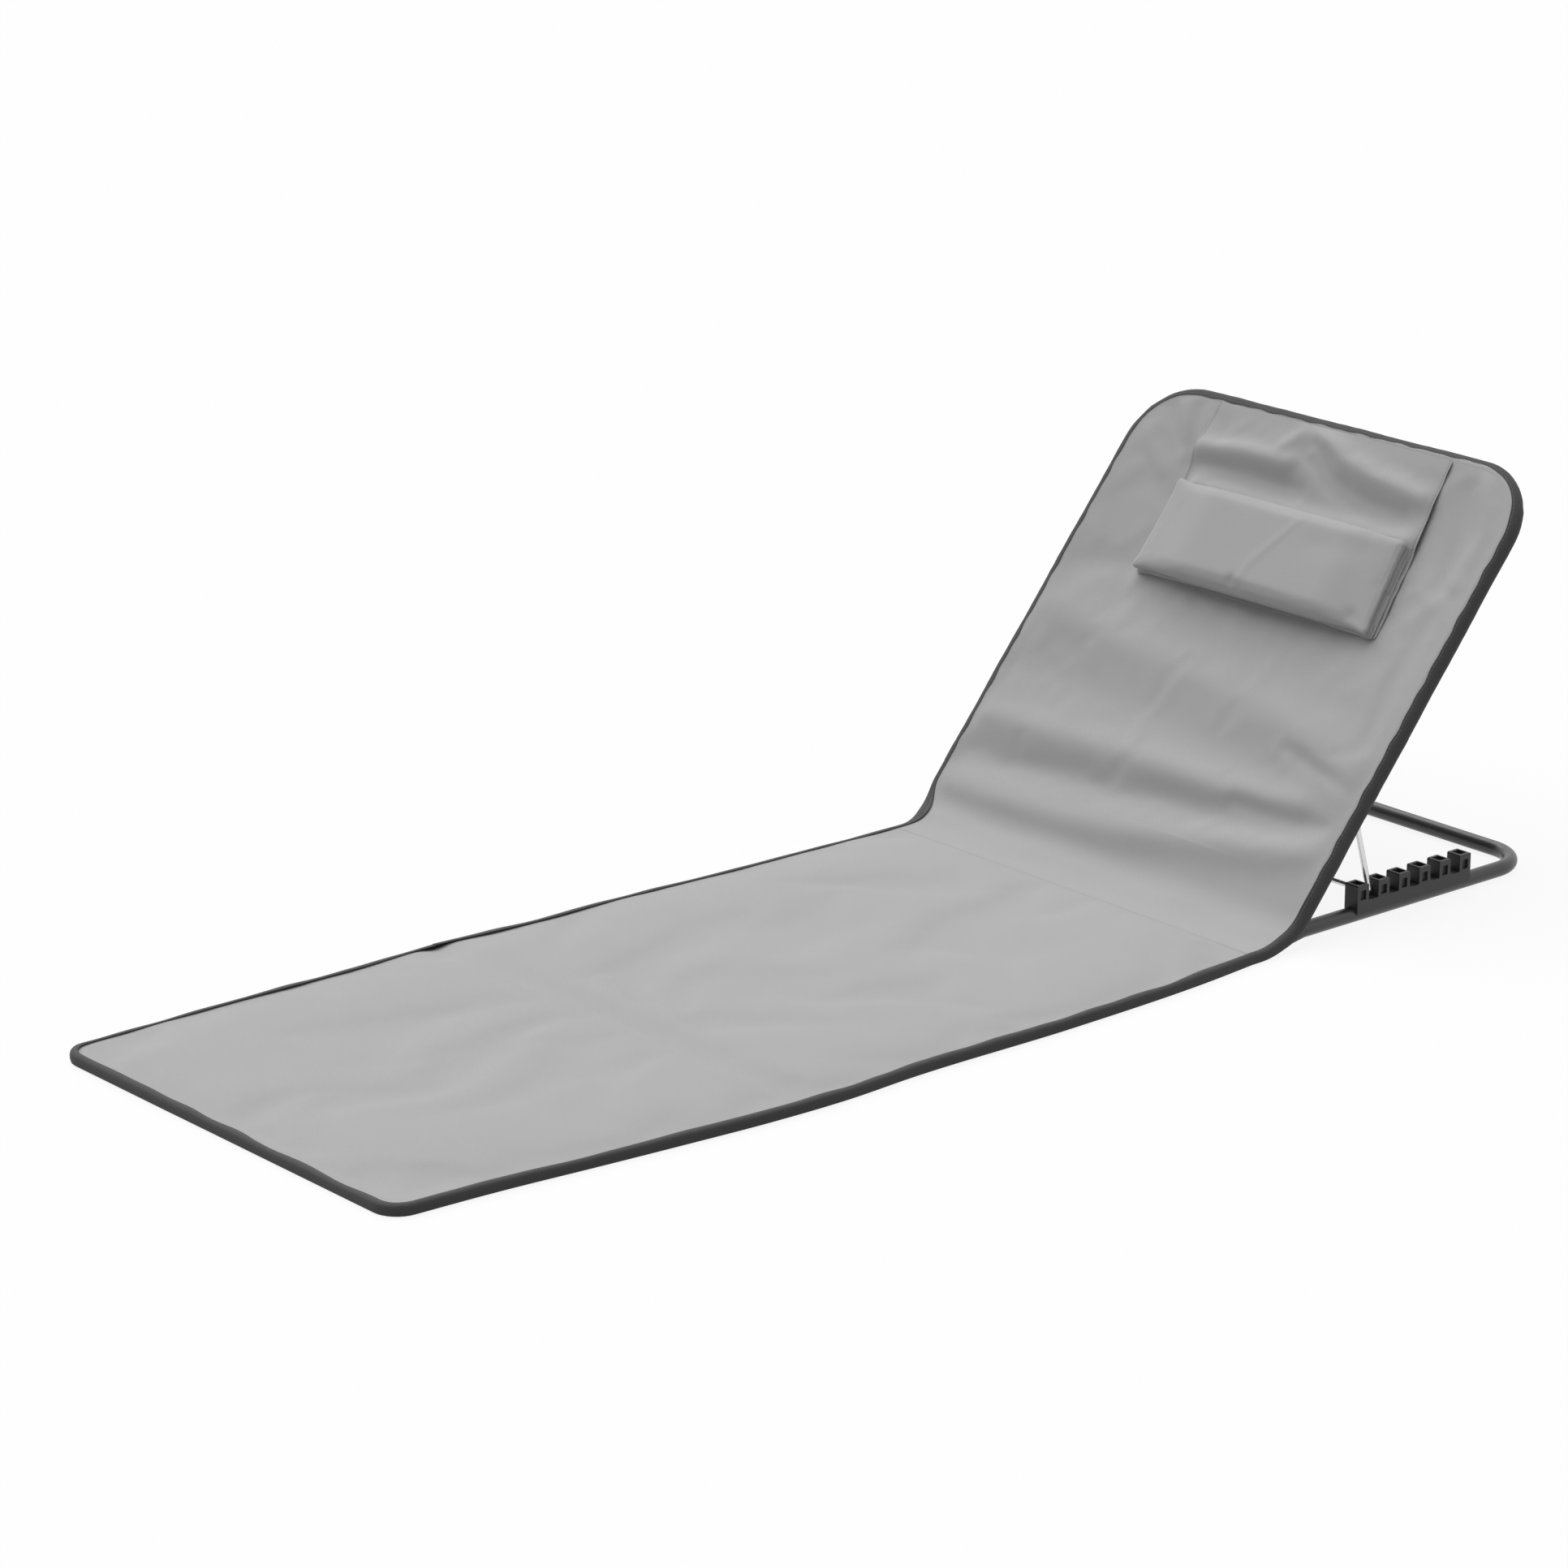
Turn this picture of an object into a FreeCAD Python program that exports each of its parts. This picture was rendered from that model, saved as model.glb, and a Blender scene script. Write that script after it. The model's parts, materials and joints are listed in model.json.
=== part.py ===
"""Folding floor recliner: a padded mat, a propped backrest, a notched base frame and a flap pillow."""
import FreeCAD, Part
import math
import os

V = FreeCAD.Vector

# Overall layout, in millimetres and degrees, measured from the hinge axis
foot_reach = 1096.0
strip_reach = 60.0
crease_reach = 655.0
rear_rail_x = 371.0
recline_angle = 50.4
backrest_top = 532.0

# Steel tubes of the two frames and their pressed, drilled ends
tube_diameter = 16.0
tube_wall = 1.0
base_half_width = 254.0
base_corner_radius = 48.0
rail_step = 14.0
backrest_corner_radius = 68.0
tongue_thickness = 4.0
tongue_length = 16.0
swell_length = 18.0

# Hinge rivets and washers
rivet_radius = 2.5
rivet_head_radius = 5.5
rivet_head_height = 2.2
washer_radius = 7.0
washer_thickness = 0.8
running_gap = 0.2
bore_clearance = 0.05

# Notched racks on the base rails
rack_start = 105.0
tooth_count = 6
tooth_pitch = 30.0
tooth_width = 16.0
tooth_height = 17.5
rack_depth = 18.0
rack_height = 24.0
rack_skirt = 6.0
tooth_round = 1.5
side_pocket = 8.0
side_pocket_height = 10.0
side_pocket_depth = 3.0
top_pocket_depth = 4.0
top_pocket_rim = 3.0
rack_rivet_radius = 2.0
rack_rivet_head_radius = 4.0
rack_rivet_head_height = 1.6
rack_rivet_grip = 3.0

# Prop wire and its bushes
wire_diameter = 6.0
wire_bend = 5.0
prop_pivot = 160.0
notch_gap = 0.4
bush_wall = 1.5
bush_flange_radius = 6.5
bush_flange = 1.5
wire_tip_gap = 2.0

# Cloth of the backrest
cloth = 1.4
cloth_gap = 0.25
cover_start = 60.0
fold_lines = [112.0, 170.0, 238.0, 318.0]
fold_heights = [4.0, -6.0, 4.0, -5.0, -3.0]
fold_stations = [(0.26, 1.0), (0.74, 0.6)]
edge_ripple = 0.05
bail_notch_length = 34.0
bail_notch_margin = 2.0
bail_notch_offset = 4.0

# Flap pillow
flap_half_width = 170.0
flap_bottom = 318.0
flap_sheet = 1.0
flap_gap = 0.6
pillow_bottom = 323.0
pillow_length = 108.0
pillow_half_width = 163.0
pillow_height = 36.0
pillow_end_height = 24.0
pillow_pull_in = 4.0
pillow_cover = 1.2
pillow_fit = 0.2

# Padded mat and its hinge strip
mat_bow = 9.0
mat_thickness = 16.5
mat_edge_thickness = 14.0
mat_binding = 3.0
mat_binding_height = 14.5
mat_cloth = 1.2
mat_corner_radius = 25.0
panel_gap = 0.4
pad_fit = 0.2
fold_ease = 34.0
fold_drop = 5.0
strip_level = 12.2
strip_bend = 60.0
strip_binding = 6.0
strip_binding_thickness = 3.4

# Values worked out from the sizes above
tube_radius = tube_diameter / 2
wire_radius = wire_diameter / 2
hinge_x = (foot_reach - rear_rail_x - tube_radius) / 2
hinge_z = tube_radius
backrest_half_width = base_half_width + rail_step
mat_end_half_width = backrest_half_width
round_start = tongue_length + swell_length
lap_middle = (base_half_width + backrest_half_width) / 2
lap_gap = washer_thickness + running_gap
base_tongue_y = lap_middle - (lap_gap + tongue_thickness) / 2
backrest_tongue_y = lap_middle + (lap_gap + tongue_thickness) / 2
rack_length = tooth_pitch * (tooth_count - 1) + tooth_width
rack_top = tube_diameter + rack_height
notch_floor = rack_top - tooth_height
notch_bar_x = rack_start + tooth_pitch - notch_gap - wire_radius
notch_bar_z = notch_floor + notch_gap + wire_radius
lean = math.radians(recline_angle)
pivot_x = prop_pivot * math.cos(lean)
pivot_z = hinge_z + prop_pivot * math.sin(lean)
bush_radius = wire_radius + bore_clearance + bush_wall
leg_y = backrest_half_width - tube_radius - bush_flange - running_gap - wire_bend
cover_low = tube_radius + cloth_gap
cover_high = cover_low + cloth
flap_low = cover_high + flap_gap
flap_high = flap_low + flap_sheet


def export(shape, node):
    """Write one piece, or one group of like pieces, under its own name."""
    shape.exportStep(os.path.join("parts", node + ".step"))


def line(start, end):
    """Straight edge between two points."""
    return Part.LineSegment(start, end).toShape()


def arc(start, middle, end):
    """Arc edge through three points."""
    return Part.Arc(start, middle, end).toShape()


def polygon(points):
    """Closed wire of straight edges."""
    return Part.makePolygon(points + [points[0]])


def both_sides(shape):
    """A shape of the +Y side and its mirror image."""
    return [shape, shape.mirror(V(0, 0, 0), V(0, 1, 0))]


def on_base(shape):
    """Set a shape drawn about the hinge line, with the floor at zero, in its place."""
    shape.translate(V(hinge_x, 0, 0))
    return shape


def on_backrest(shape):
    """Set a shape drawn flat along +X from the hinge in its place on the leaning backrest."""
    shape.rotate(V(0, 0, 0), V(0, 1, 0), -recline_angle)
    shape.translate(V(hinge_x, 0, hinge_z))
    return shape


def rounded_path(points, radii):
    """Straight runs through the points, joined by tangent arcs of the given radii."""
    edges = []
    start = points[0]
    for before, corner, after, radius in zip(points, points[1:], points[2:], radii):
        to_before = (before - corner).normalize()
        to_after = (after - corner).normalize()
        half_angle = to_before.getAngle(to_after) / 2
        reach = radius / math.tan(half_angle)
        bisector = (to_before + to_after).normalize()
        arc_start = corner + to_before * reach
        arc_end = corner + to_after * reach
        arc_middle = corner + bisector * (radius / math.sin(half_angle) - radius)
        edges.append(line(start, arc_start))
        edges.append(arc(arc_start, arc_middle, arc_end))
        start = arc_end
    edges.append(line(start, points[-1]))
    return Part.Wire(edges)


def rod_along(path, radius):
    """Round bar swept along a path."""
    first = path.Edges[0]
    start = first.valueAt(first.FirstParameter)
    direction = first.tangentAt(first.FirstParameter)
    circle = Part.Wire(Part.makeCircle(radius, start, direction))
    return path.makePipeShell([circle], True, False)


def cross_bore(radius, x, z, y_from, y_to):
    """Cylinder along Y, for a shank or a drilled hole."""
    return Part.makeCylinder(radius, y_to - y_from, V(x, y_from, z), V(0, 1, 0))


def rivet(length, radius, head_radius, head_height, two_heads):
    """Domed rivet along +Z with its shank from zero to the given length."""
    def rim(reach, z):
        return V(reach, 0, z)

    def crown(seat, rise):
        sphere_radius = (head_radius ** 2 + head_height ** 2) / (2 * head_height)
        half = head_radius / 2
        sag = sphere_radius - math.sqrt(sphere_radius ** 2 - half ** 2)
        return rim(half, seat + rise * (head_height - sag)), rim(0, seat + rise * head_height)

    shoulder, top = crown(length, 1)
    edges = [line(rim(radius, 0), rim(radius, length)), line(rim(radius, length), rim(head_radius, length)),
             arc(rim(head_radius, length), shoulder, top)]
    if two_heads:
        shoulder, bottom = crown(0, -1)
        edges += [line(top, bottom), arc(bottom, shoulder, rim(head_radius, 0)),
                  line(rim(head_radius, 0), rim(radius, 0))]
    else:
        edges += [line(top, rim(0, 0)), line(rim(0, 0), rim(radius, 0))]
    return Part.Face(Part.Wire(edges)).revolve(V(0, 0, 0), V(0, 0, 1), 360)


def pressed_end(tube_y, tongue_y, axis_z):
    """Flat tongue with a round nose, and the swell that joins it to the round tube."""
    half = tongue_thickness / 2
    low = axis_z - tube_radius
    high = axis_z + tube_radius

    def inside(x, z):
        return V(x, tongue_y - half, z)

    nose = Part.Wire([
        line(inside(0, low), inside(tongue_length, low)),
        line(inside(tongue_length, low), inside(tongue_length, high)),
        line(inside(tongue_length, high), inside(0, high)),
        arc(inside(0, high), inside(-tube_radius, axis_z), inside(0, low)),
    ])
    tongue = Part.Face(nose).extrude(V(0, tongue_thickness, 0))

    def rim(angle):
        turn = math.radians(angle)
        return V(round_start, tube_y + tube_radius * math.cos(turn), axis_z + tube_radius * math.sin(turn))

    ring = Part.Wire([arc(rim(a), rim(a + 45), rim(a + 90)) for a in (45, 135, 225, 315)])
    flat = polygon([
        V(tongue_length, tongue_y + half, high), V(tongue_length, tongue_y - half, high),
        V(tongue_length, tongue_y - half, low), V(tongue_length, tongue_y + half, low),
    ])
    return tongue.fuse(Part.makeLoft([flat, ring], True, True))


def bent_frame(reach, half_width, corner_radius, tongue_y, axis_z, hole_radius):
    """Hollow U of tube in the XY plane with its two pressed and drilled ends."""
    path = rounded_path([
        V(round_start, half_width, axis_z), V(reach, half_width, axis_z),
        V(reach, -half_width, axis_z), V(round_start, -half_width, axis_z),
    ], [corner_radius, corner_radius])
    frame = rod_along(path, tube_radius).cut(rod_along(path, tube_radius - tube_wall))
    end = pressed_end(half_width, tongue_y, axis_z)
    hole = cross_bore(hole_radius, 0, axis_z, tongue_y - tongue_thickness, tongue_y + tongue_thickness)
    return frame.fuse(both_sides(end.cut(hole)))


def build_base():
    """Base tube with the holes of the rack rivets."""
    tube = bent_frame(rear_rail_x, base_half_width, base_corner_radius, base_tongue_y, hinge_z, rivet_radius)
    for x in rack_rivet_places():
        hole = Part.makeCylinder(rack_rivet_radius, tube_radius, V(x, base_half_width, hinge_z))
        tube = tube.cut(both_sides(hole))
    export(on_base(tube.removeSplitter()), "base_tube")


def build_hinge():
    """Rivets and washers that join the two frames."""
    inner = base_tongue_y - tongue_thickness / 2
    outer = backrest_tongue_y + tongue_thickness / 2 + running_gap
    pin = rivet(outer - inner, rivet_radius, rivet_head_radius, rivet_head_height, True)
    pin.rotate(V(0, 0, 0), V(1, 0, 0), -90)
    pin.translate(V(0, inner, hinge_z))
    export(on_base(Part.makeCompound(both_sides(pin))), "hinge_rivets")
    washer_y = base_tongue_y + tongue_thickness / 2
    washer = cross_bore(washer_radius, 0, hinge_z, washer_y, washer_y + washer_thickness)
    washer = washer.cut(cross_bore(rivet_radius, 0, hinge_z, washer_y, washer_y + washer_thickness))
    export(on_base(Part.makeCompound(both_sides(washer))), "hinge_washers")


def rack_rivet_places():
    """Middle of the first and of the last tooth, along X."""
    first = rack_start + tooth_width / 2
    return [first, first + tooth_pitch * (tooth_count - 1)]


def build_racks():
    """Moulded racks: castle teeth with cored sides and tops, on a skirt that straddles the rail."""
    inner = base_half_width - rack_depth / 2
    bottom = tube_diameter - rack_skirt
    rack = Part.makeBox(rack_length, rack_depth, notch_floor - bottom, V(rack_start, inner, bottom))
    for i in range(tooth_count):
        x = rack_start + i * tooth_pitch
        tooth = Part.makeBox(tooth_width, rack_depth, tooth_height, V(x, inner, notch_floor))
        top_edges = [e for e in tooth.Edges
                     if min(v.Z for v in e.Vertexes) > rack_top - 0.01 and e.Vertexes[0].X == e.Vertexes[1].X]
        rack = rack.fuse(tooth.makeFillet(tooth_round, top_edges))
    rack = rack.removeSplitter()
    for i in range(tooth_count):
        x = rack_start + i * tooth_pitch
        pocket_x = x + (tooth_width - side_pocket) / 2
        pocket_z = notch_floor + (tooth_height - top_pocket_depth - side_pocket_height) / 2
        for y in (inner, inner + rack_depth - side_pocket_depth):
            corner = V(pocket_x, y, pocket_z)
            rack = rack.cut(Part.makeBox(side_pocket, side_pocket_depth, side_pocket_height, corner))
        corner = V(x + top_pocket_rim, inner + top_pocket_rim, rack_top - top_pocket_depth)
        well_length = tooth_width - 2 * top_pocket_rim
        well_width = rack_depth - 2 * top_pocket_rim
        rack = rack.cut(Part.makeBox(well_length, well_width, top_pocket_depth, corner))
    saddle = Part.makeCylinder(tube_radius + bore_clearance, rack_length,
                               V(rack_start, base_half_width, hinge_z), V(1, 0, 0))
    rack = rack.cut(saddle)
    pins = []
    for x in rack_rivet_places():
        foot = V(x, base_half_width, tube_diameter - tube_wall - rack_rivet_grip)
        shank = rack_top - top_pocket_depth - foot.z
        rack = rack.cut(Part.makeCylinder(rack_rivet_radius, shank, foot))
        pin = rivet(shank, rack_rivet_radius, rack_rivet_head_radius, rack_rivet_head_height, False)
        pin.translate(foot)
        pins += both_sides(pin)
    left, right = both_sides(rack)
    export(on_base(left), "rack_left")
    export(on_base(right), "rack_right")
    export(on_base(Part.makeCompound(pins)), "rack_rivets")


def build_backrest_frame():
    """Backrest tube with its bush holes, and the bushes."""
    tube = bent_frame(backrest_top, backrest_half_width, backrest_corner_radius, backrest_tongue_y, 0,
                      rivet_radius + bore_clearance)
    hole = cross_bore(bush_radius, prop_pivot, 0, backrest_half_width - tube_diameter, backrest_half_width)
    tube = tube.cut(both_sides(hole))
    export(on_backrest(tube.removeSplitter()), "backrest_tube")
    face = backrest_half_width - tube_radius
    barrel = cross_bore(bush_radius, prop_pivot, 0, face, face + 2 * tube_wall)
    flange = cross_bore(bush_flange_radius, prop_pivot, 0, face - bush_flange, face)
    bore = cross_bore(wire_radius + bore_clearance, prop_pivot, 0, face - tube_diameter, face + tube_diameter)
    bush = barrel.fuse(flange).removeSplitter().cut(bore)
    export(on_backrest(Part.makeCompound(both_sides(bush))), "prop_bushes")


def build_prop():
    """Bent wire bail from the bushes down to the notch nearest the hinge."""
    tip_y = backrest_half_width + tube_radius - tube_wall - wire_tip_gap
    path = rounded_path([
        V(pivot_x, tip_y, pivot_z), V(pivot_x, leg_y, pivot_z), V(notch_bar_x, leg_y, notch_bar_z),
        V(notch_bar_x, -leg_y, notch_bar_z), V(pivot_x, -leg_y, pivot_z), V(pivot_x, -tip_y, pivot_z),
    ], [wire_bend] * 4)
    export(on_base(rod_along(path, wire_radius)), "prop_wire")


def cover_outline(low, high):
    """Block with the plan of the backrest cover: straight sides and rounded top corners."""
    path = rounded_path([
        V(cover_start, backrest_half_width, low), V(backrest_top, backrest_half_width, low),
        V(backrest_top, -backrest_half_width, low), V(cover_start, -backrest_half_width, low),
    ], [backrest_corner_radius] * 2)
    edge = line(V(cover_start, -backrest_half_width, low), V(cover_start, backrest_half_width, low))
    return Part.Face(Part.Wire(path.Edges + [edge])).extrude(V(0, 0, high - low))


def cover_section(y, share):
    """Cross-section of the front cloth at one distance from the middle, with its folds as arcs."""
    lines = [cover_start] + fold_lines + [backrest_top]
    spans = list(zip(lines, lines[1:], fold_heights))
    front = []
    back = []
    for start, end, height in spans:
        rise = height * share if share else edge_ripple
        for level, edges in ((cover_high, front), (cover_low, back)):
            edges.append(arc(V(start, y, level), V((start + end) / 2, y, level + rise), V(end, y, level)))
    top_end = line(V(backrest_top, y, cover_high), V(backrest_top, y, cover_low))
    low_end = line(V(cover_start, y, cover_low), V(cover_start, y, cover_high))
    return Part.Wire(front + [top_end] + back[::-1] + [low_end])


def build_backrest_cover():
    """Front cloth with its main folds, plain rear cloth notched for the bail, and the dark edge sleeve."""
    stations = [(-backrest_half_width, 0.0)]
    stations += [(-where * backrest_half_width, share) for where, share in reversed(fold_stations)]
    stations += [(where * backrest_half_width, share) for where, share in fold_stations]
    stations += [(backrest_half_width, 0.0)]
    depth = 3 * tube_diameter
    folded = Part.makeLoft([cover_section(y, share) for y, share in stations], True, True)
    front = folded.common(cover_outline(-depth, depth))
    export(on_backrest(front), "backrest_front_cloth")
    rear = cover_outline(-cover_high, -cover_low)
    notch_inner = leg_y - wire_radius - bail_notch_margin
    notch_start = prop_pivot + bail_notch_offset - bail_notch_length * 0.75
    notch = Part.makeBox(bail_notch_length, backrest_half_width - notch_inner + cloth, 2 * cover_high,
                         V(notch_start, notch_inner, -2 * cover_high))
    rear = rear.cut(both_sides(notch))
    export(on_backrest(rear), "backrest_rear_cloth")
    path = rounded_path([
        V(cover_start, backrest_half_width, 0), V(backrest_top, backrest_half_width, 0),
        V(backrest_top, -backrest_half_width, 0), V(cover_start, -backrest_half_width, 0),
    ], [backrest_corner_radius] * 2)
    y = backrest_half_width
    section = Part.Wire([
        arc(V(cover_start, y, cover_high), V(cover_start, y + cover_high, 0), V(cover_start, y, -cover_high)),
        line(V(cover_start, y, -cover_high), V(cover_start, y, -cover_low)),
        arc(V(cover_start, y, -cover_low), V(cover_start, y + cover_low, 0), V(cover_start, y, cover_low)),
        line(V(cover_start, y, cover_low), V(cover_start, y, cover_high)),
    ])
    export(on_backrest(path.makePipeShell([section], True, False)), "backrest_edge_sleeve")


def pillow_section(y, grow, base, height, pull_in):
    """Cross-section of the pillow: flat back, drawn-in sides and a crowned front."""
    low = pillow_bottom - grow + pull_in
    high = pillow_bottom + pillow_length + grow - pull_in
    middle = (low + high) / 2
    shoulder = base + 0.6 * (height + grow)
    crown = flap_high + height + grow
    swell = 0.03 * pillow_length
    waist = (base + shoulder) / 2
    return Part.Wire([
        line(V(low, y, base), V(high, y, base)),
        arc(V(high, y, base), V(high + swell, y, waist), V(high - swell, y, shoulder)),
        arc(V(high - swell, y, shoulder), V(middle, y, crown), V(low + swell, y, shoulder)),
        arc(V(low + swell, y, shoulder), V(low - swell, y, waist), V(low, y, base)),
    ])


def pillow_form(grow, base):
    """Loft of the pillow, lower and wider at its ends than in the middle."""
    reach = pillow_half_width + grow
    ends = [(1.0, pillow_end_height, 0.0), (0.72, pillow_height, pillow_pull_in)]
    stations = [(-y * reach, h, p) for y, h, p in ends] + [(0.0, pillow_height, pillow_pull_in)]
    stations += [(y * reach, h, p) for y, h, p in reversed(ends)]
    return Part.makeLoft([pillow_section(y, grow, base, h, p) for y, h, p in stations], True, True)


def build_pillow():
    """Flap sheet sewn to the top edge, pillow cover and foam."""
    sheet = Part.makeBox(backrest_top - flap_bottom, 2 * flap_half_width, flap_sheet,
                         V(flap_bottom, -flap_half_width, flap_low))
    export(on_backrest(sheet), "pillow_flap_sheet")
    seat = flap_high + pillow_fit / 2
    cover = pillow_form(0.0, seat).cut(pillow_form(-pillow_cover, seat))
    export(on_backrest(cover), "pillow_cover")
    export(on_backrest(pillow_form(-pillow_cover - pillow_fit, seat)), "pillow_foam")


def mat_half_width(x, inset):
    """Half width of the mat: bowed out a little between its two ends."""
    middle = -(foot_reach + strip_reach) / 2
    share = (x - middle) / ((foot_reach - strip_reach) / 2)
    return mat_end_half_width + mat_bow * (1 - share ** 2) - inset


def panel_block(x_head, x_foot, inset, low, high, has_corners):
    """Block with the plan of one panel of the mat, set in from its bound edges."""
    x_end = x_foot + inset if has_corners else x_foot
    x_mid = (x_head + x_end) / 2

    def rim(x, side):
        return V(x, side * mat_half_width(x, inset), low)

    edges = [line(rim(x_head, -1), rim(x_head, 1))]
    if has_corners:
        radius = mat_corner_radius - inset
        turn = radius * (1 - math.sqrt(0.5))
        shoulder = x_end + radius
        x_mid = (x_head + shoulder) / 2

        def foot(side, step):
            return V(x_end + step, side * (mat_half_width(shoulder, inset) - radius), low)

        def corner(side):
            return V(x_end + turn, side * (mat_half_width(shoulder, inset) - turn), low)

        edges += [
            arc(rim(x_head, 1), rim(x_mid, 1), rim(shoulder, 1)),
            arc(rim(shoulder, 1), corner(1), foot(1, 0)),
            line(foot(1, 0), foot(-1, 0)),
            arc(foot(-1, 0), corner(-1), rim(shoulder, -1)),
            arc(rim(shoulder, -1), rim(x_mid, -1), rim(x_head, -1)),
        ]
    else:
        edges += [
            arc(rim(x_head, 1), rim(x_mid, 1), rim(x_end, 1)),
            line(rim(x_end, 1), rim(x_end, -1)),
            arc(rim(x_end, -1), rim(x_mid, -1), rim(x_head, -1)),
        ]
    return Part.Face(Part.Wire(edges)).extrude(V(0, 0, high - low))


def crowned(block, x_head, x_foot, drop):
    """Trim a block to the crown of the padding: arched across, and eased down at the fold lines."""
    reach = mat_end_half_width + mat_bow
    crown = mat_thickness - drop
    edge = mat_edge_thickness - drop
    across = Part.Face(Part.Wire([
        line(V(x_foot, -reach, -1), V(x_foot, reach, -1)),
        line(V(x_foot, reach, -1), V(x_foot, reach, edge)),
        arc(V(x_foot, reach, edge), V(x_foot, 0, crown), V(x_foot, -reach, edge)),
        line(V(x_foot, -reach, edge), V(x_foot, -reach, -1)),
    ])).extrude(V(x_head - x_foot, 0, 0))
    ease_z = crown - fold_drop
    bulge = 0.3 * fold_drop
    along = Part.Face(Part.Wire([
        line(V(x_foot, -reach, -1), V(x_head, -reach, -1)),
        line(V(x_head, -reach, -1), V(x_head, -reach, ease_z)),
        arc(V(x_head, -reach, ease_z), V(x_head - fold_ease / 2, -reach, crown - bulge),
            V(x_head - fold_ease, -reach, crown)),
        line(V(x_head - fold_ease, -reach, crown), V(x_foot + fold_ease, -reach, crown)),
        arc(V(x_foot + fold_ease, -reach, crown), V(x_foot + fold_ease / 2, -reach, crown - bulge),
            V(x_foot, -reach, ease_z)),
        line(V(x_foot, -reach, ease_z), V(x_foot, -reach, -1)),
    ])).extrude(V(0, 2 * reach, 0))
    return block.common(across).common(along)


def build_panel(name, x_head, x_foot, has_corners):
    """One padded panel: top cloth, foam, bottom cloth and edge binding."""
    def block(inset, low, high):
        return panel_block(x_head, x_foot, inset, low, high, has_corners)

    full = block(mat_binding, 0, mat_thickness)
    under_cloth = crowned(block(mat_binding, 0, mat_thickness), x_head, x_foot, mat_cloth)
    top = crowned(full, x_head, x_foot, 0).cut(under_cloth)
    export(on_base(top), name + "_top_cloth")
    foam = crowned(block(mat_binding + pad_fit, mat_cloth + pad_fit, mat_thickness), x_head, x_foot,
                   mat_cloth + pad_fit)
    export(on_base(foam), name + "_foam")
    export(on_base(block(mat_binding, 0, mat_cloth)), name + "_bottom_cloth")
    binding = block(0, 0, mat_binding_height).cut(block(mat_binding, 0, mat_binding_height))
    export(on_base(binding), name + "_binding")


def strip_sheet(low, thickness, half_width, y_start):
    """Bent sheet from the seat panel up to the cover of the backrest."""
    up = V(math.cos(lean), 0, math.sin(lean))
    out = V(-math.sin(lean), 0, math.cos(lean))
    hinge = V(0, 0, hinge_z)
    sides = []
    for lift, radius in ((low, strip_bend), (low + thickness, strip_bend - thickness)):
        level = strip_level - cover_low + lift
        along = hinge + out * lift
        corner = along + up * ((level - along.z) / up.z)
        seat_end = V(-strip_reach, 0, level)
        top_end = along + up * cover_start
        sides.append(rounded_path([seat_end, corner, top_end], [radius]))
    under, over = sides
    seat_edge = line(over.Vertexes[0].Point, under.Vertexes[0].Point)
    top_edge = line(under.Vertexes[-1].Point, over.Vertexes[-1].Point)
    outline = Part.Wire(under.Edges + [top_edge] + over.Edges[::-1] + [seat_edge])
    sheet = Part.Face(outline).extrude(V(0, half_width - y_start, 0))
    sheet.translate(V(0, y_start, 0))
    return sheet


def build_strip():
    """Unpadded hinge strip and its two edge bindings."""
    inner = mat_half_width(-strip_reach, strip_binding)
    export(on_base(strip_sheet(cover_low, cloth, inner, -inner)), "hinge_strip_cloth")
    binding = strip_sheet(cover_low, strip_binding_thickness, mat_half_width(-strip_reach, 0), inner)
    export(on_base(Part.makeCompound(both_sides(binding))), "hinge_strip_bindings")


def main():
    """Build and write every piece."""
    os.makedirs("parts", exist_ok=True)
    build_base()
    build_hinge()
    build_racks()
    build_backrest_frame()
    build_prop()
    build_backrest_cover()
    build_pillow()
    build_strip()
    build_panel("seat", -strip_reach - panel_gap, -crease_reach + panel_gap / 2, False)
    build_panel("foot", -crease_reach - panel_gap / 2, -foot_reach, True)


main()
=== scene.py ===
"""Folding floor recliner: cloth, padding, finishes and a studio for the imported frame."""

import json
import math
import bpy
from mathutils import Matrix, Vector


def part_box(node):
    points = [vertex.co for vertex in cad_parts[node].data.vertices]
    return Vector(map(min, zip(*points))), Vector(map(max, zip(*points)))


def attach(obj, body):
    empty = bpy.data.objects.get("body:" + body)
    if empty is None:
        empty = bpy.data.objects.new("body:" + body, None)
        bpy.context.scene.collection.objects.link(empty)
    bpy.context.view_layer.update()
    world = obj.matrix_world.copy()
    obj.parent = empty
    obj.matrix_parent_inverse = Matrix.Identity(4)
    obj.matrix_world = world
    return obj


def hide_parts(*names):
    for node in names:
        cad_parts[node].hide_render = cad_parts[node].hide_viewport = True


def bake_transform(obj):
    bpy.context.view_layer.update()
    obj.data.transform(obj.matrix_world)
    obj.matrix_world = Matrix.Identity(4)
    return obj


bl_info = {
    "name": "Folding floor recliner",
    "version": (1, 0, 0),
    "blender": (4, 5, 0),
    "location": "View3D > Sidebar > Recliner",
    "description": "Dresses the frame of a folding floor recliner with padding, cloth, bindings and finishes",
    "category": "Add Mesh",
}

import bpy
import numpy as np
from bpy.props import FloatProperty, FloatVectorProperty, PointerProperty
from mathutils import Vector, noise

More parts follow.
